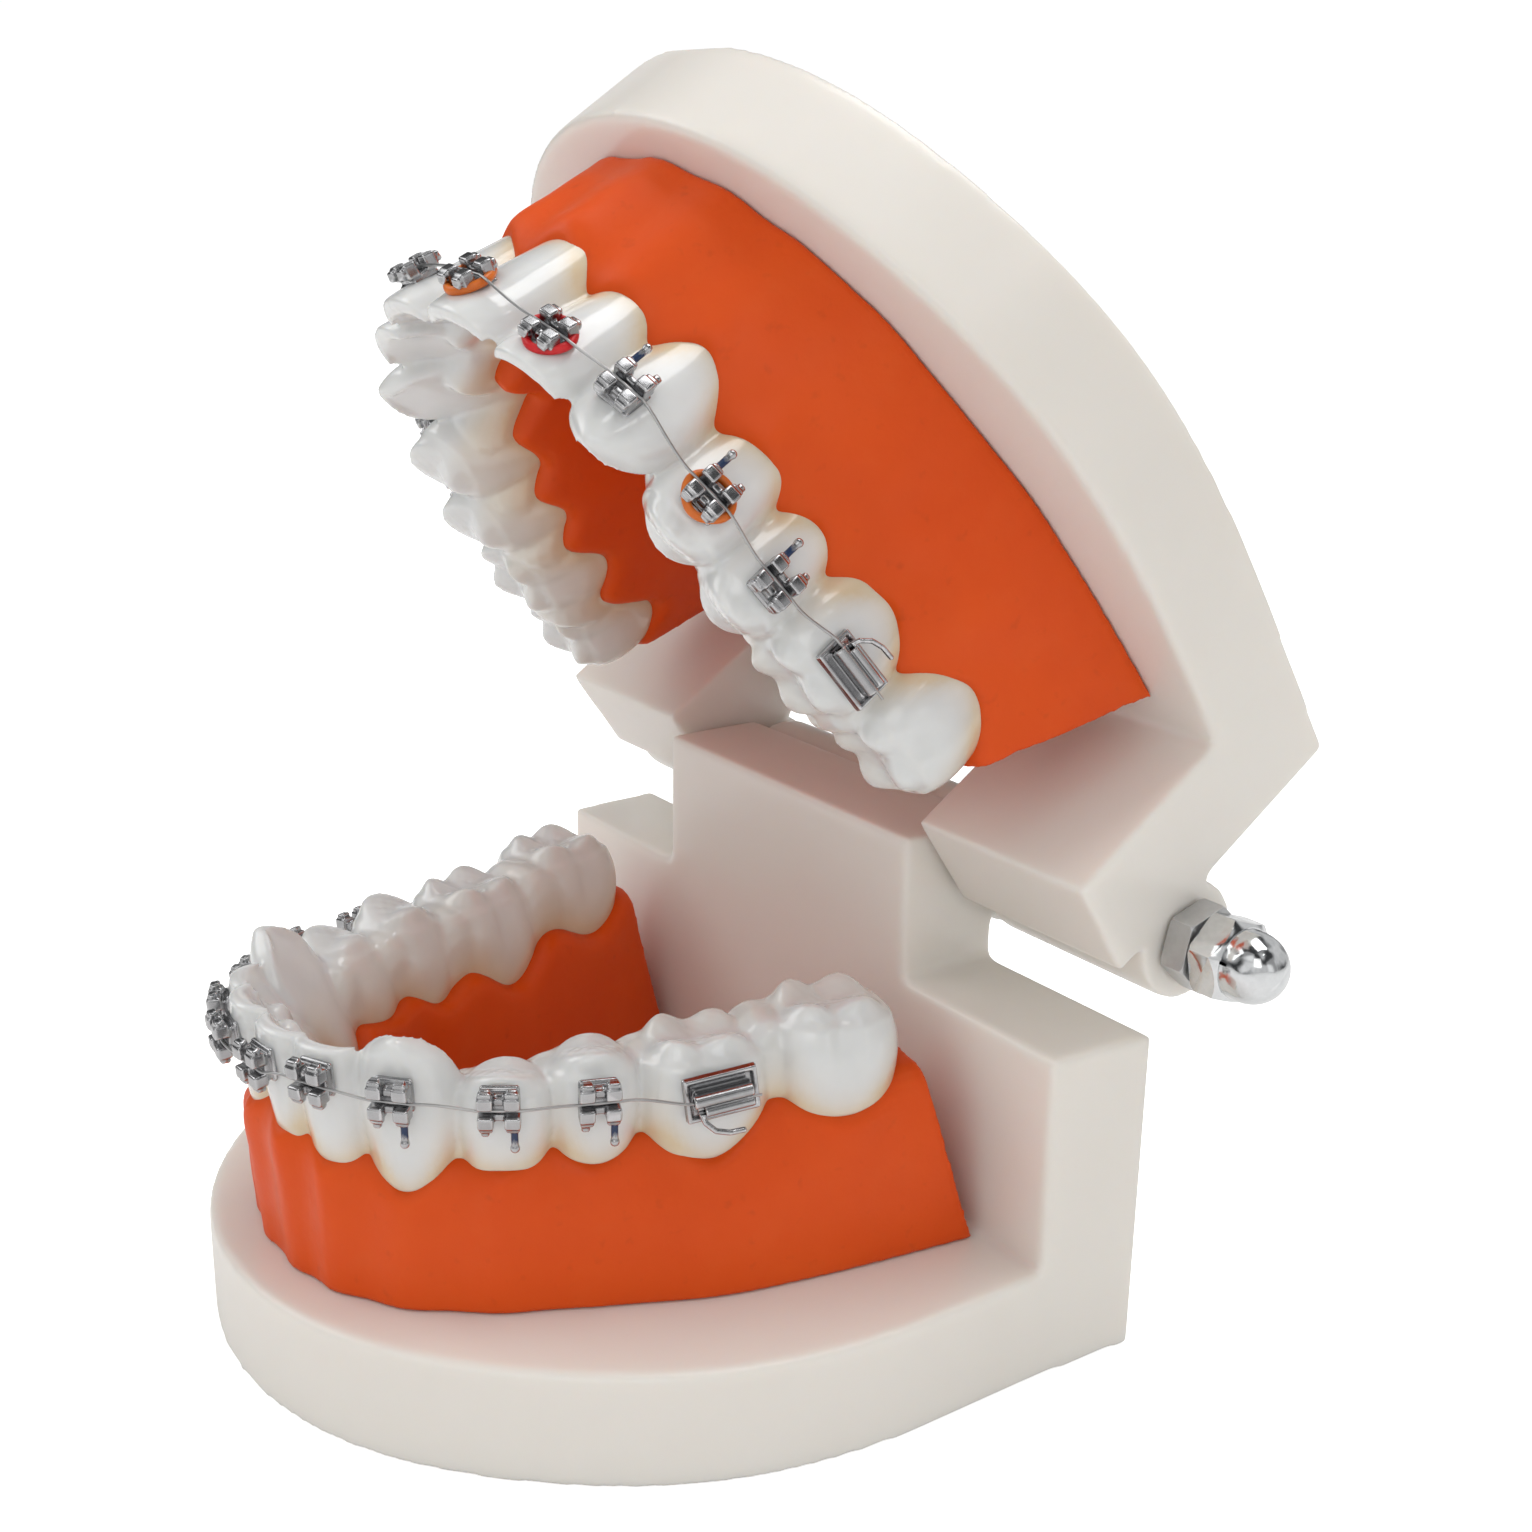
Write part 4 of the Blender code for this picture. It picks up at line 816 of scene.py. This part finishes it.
def cap_nut():
    r = CAP_AF / math.sqrt(3)
    drum = turned([(0, 0), (0, r * .95), (0.3, r * 1.01), (CAP_HEX - 0.55, r * 1.01), (CAP_HEX, CAP_AF * 0.47), (CAP_HEX, 0)], 96)
    dome_r = CAP_AF * 0.455
    profile = [(CAP_HEX - 0.6, 0.0), (CAP_HEX - 0.6, dome_r), (CAP_HEX + 0.55, dome_r)]
    for k in range(1, 24):
        a = math.radians(90 * k / 24)
        profile.append((CAP_HEX + 0.55 + (CAP_LEN - CAP_HEX - 0.55) * math.sin(a), dome_r * math.cos(a) ** 0.92))
    profile.append((CAP_LEN, 0.0))
    made = boolean_chain("cap", hexagon(CAP_AF, 0, CAP_HEX), [
        ("INTERSECT", drum), ("UNION", turned(profile, 72)),
        ("DIFFERENCE", x_cylinder(1.55, -3, CAP_LEN - 1.6, 0, 0, 40))])
    return softened(made, "cap_nut", 0.05, 28)


# ---------------------------------------------------------------- materials
class Nodes:
    """A material's node tree, built top down."""

    def __init__(self, name):
        self.mat = bpy.data.materials.new(name)
        self.mat.use_nodes = True
        self.tree = self.mat.node_tree
        self.shader = self.tree.nodes["Principled BSDF"]
        self.place = self.add("ShaderNodeTexCoord").outputs["Object"]

    def add(self, kind, inputs=None, **settings):
        made = self.tree.nodes.new(kind)
        for key, value in settings.items():
            setattr(made, key, value)
        for key, value in (inputs or {}).items():
            self.put(made, key, value)
        return made

    def put(self, target, key, value):
        socket = target.inputs[key]
        if hasattr(value, "is_output"):
            self.tree.links.new(value, socket)
        else:
            socket.default_value = value

    def noise(self, scale, detail=3.0, rough=0.5, distortion=0.0):
        return self.add("ShaderNodeTexNoise", {"Vector": self.place, "Scale": scale, "Detail": detail,
                                               "Roughness": rough, "Distortion": distortion}).outputs["Fac"]

    def ramp(self, fac, *stops):
        made = self.add("ShaderNodeValToRGB", {"Fac": fac})
        ramp = made.color_ramp
        while len(ramp.elements) < len(stops):
            ramp.elements.new(0.5)
        for element, (at, colour) in zip(ramp.elements, stops):
            element.position = at
            element.color = (*colour, 1.0) if isinstance(colour, tuple) else (colour, colour, colour, 1.0)
        return made.outputs["Color"]

    def mix(self, fac, a, b, blend="MIX"):
        made = self.add("ShaderNodeMix", data_type="RGBA", blend_type=blend)
        for key, value in ((0, fac), (6, a), (7, b)):
            socket = made.inputs[key]
            if hasattr(value, "is_output"):
                self.tree.links.new(value, socket)
            elif isinstance(value, tuple):
                socket.default_value = (*value, 1.0)
            else:
                socket.default_value = value
        return made.outputs[2]

    def scaled(self, value, low, high):
        return self.add("ShaderNodeMapRange", {"Value": value, "To Min": low, "To Max": high}).outputs["Result"]

    def bump(self, height, strength, distance, under=None):
        made = self.add("ShaderNodeBump", {"Height": height, "Strength": strength, "Distance": distance})
        if under is not None:
            self.put(made, "Normal", under)
        return made.outputs["Normal"]

    def set(self, **values):
        for key, value in values.items():
            self.put(self.shader, key.replace("_", " "), value)
        return self


def ivory_plastic(name, seed):
    n = Nodes(name)
    cloud = n.noise(55 + seed, 3, 0.55)
    fine = n.noise(420, 4, 0.6)
    base = n.ramp(cloud, (0.3, (0.775, 0.738, 0.684)), (0.7, (0.800, 0.766, 0.714)))
    speck = n.ramp(n.noise(760, 2, 0.4), (0.0, 0.55), (0.24, 1.0))
    colour = n.mix(0.06, base, speck, "MULTIPLY")
    under = n.bump(n.noise(150, 3, 0.5), 0.10, 0.0004)
    n.set(Base_Color=colour, Roughness=n.scaled(fine, 0.27, 0.38), Normal=n.bump(fine, 0.06, 0.00015, under))
    n.put(n.shader, "Subsurface Weight", 0.22)
    n.put(n.shader, "Subsurface Radius", (1.0, 0.72, 0.50))
    n.put(n.shader, "Subsurface Scale", 0.0028)
    n.put(n.shader, "Coat Weight", 0.22)
    n.put(n.shader, "Coat Roughness", 0.16)
    return n.mat


def coral_plastic(name, seed):
    n = Nodes(name)
    cloud = n.noise(70 + seed, 4, 0.6)
    base = n.ramp(cloud, (0.28, (0.680, 0.068, 0.0015)), (0.5, (0.715, 0.077, 0.0025)), (0.75, (0.745, 0.088, 0.0045)))
    pore = n.ramp(n.noise(900, 2, 0.5), (0.18, 0.45), (0.36, 1.0))
    pale = n.ramp(n.noise(300, 3, 0.6), (0.55, 0.0), (0.9, 1.0))
    colour = n.mix(0.22, base, pore, "MULTIPLY")
    colour = n.mix(n.scaled(pale, 0.0, 0.08), colour, (0.76, 0.20, 0.05))
    under = n.bump(n.noise(260, 4, 0.6), 0.22, 0.0003)
    n.set(Base_Color=colour, Roughness=n.scaled(n.noise(480, 3), 0.36, 0.52), Normal=n.bump(n.noise(1500, 3, 0.6), 0.10, 0.0001, under))
    n.put(n.shader, "Subsurface Weight", 0.12)
    n.put(n.shader, "Subsurface Radius", (1.0, 0.22, 0.08))
    n.put(n.shader, "Subsurface Scale", 0.0020)
    n.put(n.shader, "Specular IOR Level", 0.25)
    return n.mat


def enamel(name, seed):
    n = Nodes(name)
    cream_and_shade = n.add("ShaderNodeAttribute", attribute_name="cream_and_shade").outputs["Fac"]
    cloud = n.noise(230 + seed, 3, 0.55)
    white = n.ramp(cloud, (0.3, (0.695, 0.705, 0.700)), (0.7, (0.740, 0.748, 0.742)))
    warm = n.ramp(cloud, (0.3, (0.660, 0.530, 0.340)), (0.7, (0.730, 0.610, 0.420)))
    # the attribute mixes in the warm colour: a cream tone near the gum line, painted shade between crowns and painted
    # warm shade on the inner side
    amount = n.ramp(cream_and_shade, (0.05, 0.0), (0.55, 0.55), (1.0, 0.95))
    colour = n.mix(amount, white, warm)
    fine = n.noise(650, 3, 0.5)
    n.set(Base_Color=colour, Roughness=n.scaled(fine, 0.18, 0.28),
          Normal=n.bump(n.noise(320, 3, 0.5), 0.10, 0.00025))
    n.put(n.shader, "Subsurface Weight", 0.30)
    n.put(n.shader, "Subsurface Radius", (1.0, 0.86, 0.66))
    n.put(n.shader, "Subsurface Scale", 0.0012)
    n.put(n.shader, "Coat Weight", 0.7)
    n.put(n.shader, "Coat Roughness", 0.07)
    return n.mat


def steel(name, light, dark, roughness, seed=0.0, marked=False, wavy=0.0):
    n = Nodes(name)
    point = n.add("ShaderNodeNewGeometry").outputs["Pointiness"]
    worn = n.noise(1900 + seed, 3, 0.6)
    # painted shade and painted highlight: Pointiness puts the dark colour into hollows and crevices as painted shade,
    # and the light colour onto convex edges as a painted highlight
    hollow_shade_edge_highlight = n.ramp(point, (0.44, 0.0), (0.5, 0.55), (0.56, 1.0))
    colour = n.mix(hollow_shade_edge_highlight, dark, light)
    colour = n.mix(0.25, colour, n.ramp(worn, (0.25, 0.55), (0.7, 1.0)), "MULTIPLY")
    metallic = 1.0
    if marked:
        mark = n.add("ShaderNodeAttribute", attribute_name="mark").outputs["Fac"]
        colour = n.mix(mark, colour, (0.012, 0.030, 0.085))
        metallic = n.scaled(mark, 1.0, 0.0)
    height = n.bump(worn, 0.10, 0.00005)
    if wavy:
        height = n.bump(n.noise(330, 2, 0.4), wavy, 0.0006, height)
    n.set(Base_Color=colour, Metallic=metallic, Roughness=n.scaled(worn, roughness * 0.8, roughness * 1.25), Normal=height)
    return n.mat


def rubber(name, light, dark):
    n = Nodes(name)
    cloud = n.noise(800, 3, 0.6)
    n.set(Base_Color=n.ramp(cloud, (0.3, dark), (0.7, light)), Roughness=n.scaled(cloud, 0.30, 0.42),
          Normal=n.bump(n.noise(2600, 2, 0.5), 0.12, 0.00005))
    n.put(n.shader, "Subsurface Weight", 0.2)
    n.put(n.shader, "Subsurface Radius", (1.0, 0.4, 0.2))
    n.put(n.shader, "Subsurface Scale", 0.0005)
    return n.mat


# ---------------------------------------------------------------- the object
lower_arch = Arch(LOWER_TEETH, LOWER_END, LOWER_FOOT, LOWER_PAPILLA, 1, REAR_Y)
upper_arch = Arch(UPPER_TEETH, UPPER_END, UPPER_FOOT, UPPER_PAPILLA, -1, 0.0)
ARCHES = {"lower": lower_arch, "upper": upper_arch}

piece("lower_base_moulding", lower_base(), "lower", [ivory_plastic("ivory_lower", 0)], "lower_base")
piece("upper_base_moulding", upper_base(), "upper", [ivory_plastic("ivory_upper", 7)], "upper_base")

for jaw, floor_z, slope in (("lower", PLATE_T + 0.02, LOWER_END_SLOPE), ("upper", UP_TOP - UP_PLATE_T - 0.02, UPPER_END_SLOPE)):
    arch = ARCHES[jaw]
    piece(jaw + "_gum_moulding", gum_skin(jaw, arch, floor_z, slope, jaw == "upper",
          (1.6, 2.2, 2.8, 2.8, 1.6, 0.3) if jaw == "upper" else (0.0, 0.6, 0.6, 0.3, 0.0, 0.0)), jaw,
          [coral_plastic("coral_" + jaw, 3 if jaw == "upper" else 0)], jaw + "_gum")
    piece(jaw + "_crown_row", crowns_mesh(jaw, arch), jaw, [enamel("enamel_" + jaw, 5 if jaw == "upper" else 0)],
          jaw + "_teeth")

templates = {h: bracket(h) for h in (-1, 0, 1)}
for h, mesh in templates.items():
    values = []
    for v in mesh.vertices:
        x, y, z = v.co / MM
        values.append(1.0 if h and -2.35 < z < -1.55 and abs(x - 0.93 * h) < 0.5 and y > 1.3 else 0.0)
    mesh.attributes.new("mark", "FLOAT", "POINT").data.foreach_set("value", values)
tube_templates = {h: molar_tube(h) for h in (-1, 1)}
# in each steel the second colour is the painted shade in its hollows and the first is the painted highlight on its
# edges
bracket_steel = steel("bracket_steel", (0.62, 0.62, 0.63), (0.09, 0.09, 0.095), 0.24, 0, True)
tube_steel = steel("tube_steel", (0.66, 0.66, 0.67), (0.10, 0.10, 0.105), 0.22, 40)
wire_steel = steel("archwire_steel", (0.50, 0.50, 0.50), (0.34, 0.34, 0.34), 0.30, 80)
for jaw, arch in ARCHES.items():
    for side, side_name in ((1, "left"), (-1, "right")):
        for i, tooth in enumerate(TOOTH_NAMES):
            centre, n, t, up = bracket_frame(arch, side, i, jaw)
            place, x_dir = local_frame(centre - n * 0.12, n, t, up)
            hook = 1 if x_dir.dot(t * side) > 0 else -1
            tube = i == 5
            mesh = (tube_templates[hook] if tube else templates[0 if i < 2 else hook * arch.sign]).copy()   # upper hooks sit on the mesial wing
            if tube:                                       # on the lower jaw turned a little in its own plane, and smaller above
                size = 0.96 if jaw == "lower" else 0.86
                spin = math.radians(7) * (1 if x_dir.dot(t * side) > 0 else -1)
                mesh.transform(Matrix.Rotation(-spin if jaw == "lower" else 0.0, 4, "Y")
                               @ Matrix.Diagonal((size, 1.0, size, 1.0)))
            mesh.transform(place)
            node = f"{'tube' if tube else 'bracket'}_{jaw}_{tooth}_{side_name}"
            piece(node + "_cast", mesh, jaw, [tube_steel if tube else bracket_steel], node)
    piece(f"archwire_{jaw}_round", wire("archwire_" + jaw, archwire_points(arch, jaw), 0.10), jaw, [wire_steel],
          "archwire_" + jaw)

ORANGE = rubber("ring_orange", (0.70, 0.165, 0.010), (0.56, 0.115, 0.007))
RED = rubber("ring_red", (0.64, 0.010, 0.014), (0.50, 0.006, 0.010))
for index, tooth, mat in ((0, "central", ORANGE), (1, "lateral", RED), (3, "premolar1", ORANGE)):
    centre, n, t, up = bracket_frame(upper_arch, 1, index, "upper")
    place, _ = local_frame(centre + n * 0.66, n, t, up)
    mesh = elastic(1.56, 0.27, index)
    mesh.transform(place)
    node = f"elastic_upper_{tooth}_left"
    piece(node + "_ring", mesh, "upper", [mat], node)

# here too the second colour is painted shade in the hollows and the first is a painted highlight on the edges
zinc = steel("jam_nut_zinc", (0.66, 0.66, 0.66), (0.46, 0.46, 0.465), 0.42, 120)
chrome = steel("cap_nut_chrome", (0.82, 0.83, 0.84), (0.64, 0.66, 0.67), 0.13, 160, False, 0.5)
for side, side_name in ((1, "left"), (-1, "right")):
    for node, mesh, start, turn, mat, word in (
            (f"jam_nut_{side_name}", jam_nut(), HALF_WIDTH + 0.2, 12, zinc, "zinc"),
            (f"cap_nut_{side_name}", cap_nut(), HALF_WIDTH + 0.2 + JAM_T + GAP, 38, chrome, "chrome")):
        place = (Matrix.Translation(Vector((side * start * MM, 0, 0))) @ Matrix.Rotation(0 if side > 0 else math.pi, 4, "Z")
                 @ Matrix.Rotation(math.radians(turn), 4, "X"))
        mesh.transform(place)
        piece(node + "_turned", mesh, "upper", [mat], node)
rod = frame["nodes"]["hinge_rod"]
rod.data.materials.clear()
rod.data.materials.append(steel("hinge_rod_plain", (0.50, 0.50, 0.51), (0.30, 0.30, 0.31), 0.35, 200))

# ---------------------------------------------------------------- floor, light, camera
floor_mesh = bpy.data.meshes.new("studio_floor")
floor_mesh.from_pydata([(-4, -4, 0), (4, -4, 0), (4, 4, 0), (-4, 4, 0)], [], [(0, 1, 2, 3)])
floor = link(bpy.data.objects.new("studio_floor", floor_mesh))
floor.location.z = -0.00004
floor_mat = Nodes("studio_floor")
floor_mat.set(Base_Color=floor_mat.ramp(floor_mat.noise(6, 2), (0.3, (0.90, 0.90, 0.90)), (0.7, (0.92, 0.92, 0.92))), Roughness=0.7)
lift = floor_mat.add("ShaderNodeMath", {0: floor_mat.add("ShaderNodeLightPath").outputs["Is Camera Ray"], 1: 0.62}, operation="MULTIPLY")
floor_mat.set(Emission_Color=(1.0, 1.0, 1.0, 1.0), Emission_Strength=lift.outputs[0])
floor_mesh.materials.append(floor_mat.mat)

scene = bpy.context.scene
world = bpy.data.worlds.new("studio")
scene.world = world
world.use_nodes = True
tree = world.node_tree
tree.nodes.clear()
out = tree.nodes.new("ShaderNodeOutputWorld")
backdrop = tree.nodes.new("ShaderNodeBackground")
backdrop.inputs[1].default_value = 1.02
plain = tree.nodes.new("ShaderNodeBackground")
plain.inputs[0].default_value = (1.0, 0.995, 0.985, 1)
plain.inputs[1].default_value = 0.60
backdrop.inputs[0].default_value = (1, 1, 1, 1)
room = tree.nodes.new("ShaderNodeBackground")
coord = tree.nodes.new("ShaderNodeTexCoord")
bands = tree.nodes.new("ShaderNodeTexNoise")
bands.inputs["Scale"].default_value = 1.6
bands.inputs["Detail"].default_value = 1.0
tree.links.new(coord.outputs["Generated"], bands.inputs["Vector"])
tone = tree.nodes.new("ShaderNodeValToRGB")
tone.color_ramp.elements[0].position = 0.42
tone.color_ramp.elements[0].color = (0.06, 0.062, 0.065, 1)
tone.color_ramp.elements[1].position = 0.56
tone.color_ramp.elements[1].color = (1.0, 1.0, 1.0, 1)
tree.links.new(bands.outputs["Fac"], tone.inputs["Fac"])
tree.links.new(tone.outputs["Color"], room.inputs[0])
room.inputs[1].default_value = 0.62
path = tree.nodes.new("ShaderNodeLightPath")
pick = tree.nodes.new("ShaderNodeMixShader")
tree.links.new(path.outputs["Is Glossy Ray"], pick.inputs[0])
tree.links.new(plain.outputs[0], pick.inputs[1])
tree.links.new(room.outputs[0], pick.inputs[2])
show = tree.nodes.new("ShaderNodeMixShader")
tree.links.new(path.outputs["Is Camera Ray"], show.inputs[0])
tree.links.new(pick.outputs[0], show.inputs[1])
tree.links.new(backdrop.outputs[0], show.inputs[2])
tree.links.new(show.outputs[0], out.inputs["Surface"])


def area(name, azimuth, elevation, power, size=0.35, colour=(1, 1, 1)):
    """A soft box 0.6 m from the model; azimuth 0 is in front, 90 on the model's left."""
    a, e, at = math.radians(azimuth), math.radians(elevation), Vector((0, 0, 0.04))
    light = bpy.data.lights.new(name, "AREA")
    light.shape, light.size, light.energy, light.color = "SQUARE", size, power, colour
    obj = link(bpy.data.objects.new(name, light))
    obj.location = at + Vector((math.sin(a) * math.cos(e), -math.cos(a) * math.cos(e), math.sin(e))) * 0.6
    obj.rotation_euler = (at - obj.location).to_track_quat("-Z", "Y").to_euler()
    return obj


area("key", 54, 30, 0.345, 0.30, (1.0, 0.99, 0.975))
area("rear", 180, 72, 1.5)
area("far_side", -45, 40, 0.64)
area("front_high", 10, 50, 0.12)
area("front_low", 25, 12, 0.08)
area("glint", 104, 54, 0.026, 0.045)
area("side_low", 110, 15, 0.12)

AZ, EL, ROLL = (math.radians(a) for a in (54.39, 17.26, 0.89))
TARGET, DISTANCE, FOCAL = Vector((-5.05, 20.74, 35.08)), 157.24, 1953.91 / 1532 * 36
fwd = Vector((-math.sin(AZ) * math.cos(EL), math.cos(AZ) * math.cos(EL), -math.sin(EL)))
right = Vector((math.cos(AZ), math.sin(AZ), 0))
up = right.cross(fwd)
r = right * math.cos(ROLL) + up * math.sin(ROLL)
u = -right * math.sin(ROLL) + up * math.cos(ROLL)
where = (TARGET - fwd * DISTANCE) * MM
camera = bpy.data.cameras.new("camera")
camera.sensor_width, camera.lens, camera.clip_start = 36, FOCAL, 0.005
camera_obj = link(bpy.data.objects.new("camera", camera))
camera_obj.matrix_world = Matrix(((r.x, u.x, -fwd.x, where.x), (r.y, u.y, -fwd.y, where.y),
                                  (r.z, u.z, -fwd.z, where.z), (0, 0, 0, 1)))
scene.camera = camera_obj
scene.view_settings.view_transform = "Standard"
scene.view_settings.look = "None"

bpy.context.view_layer.update()
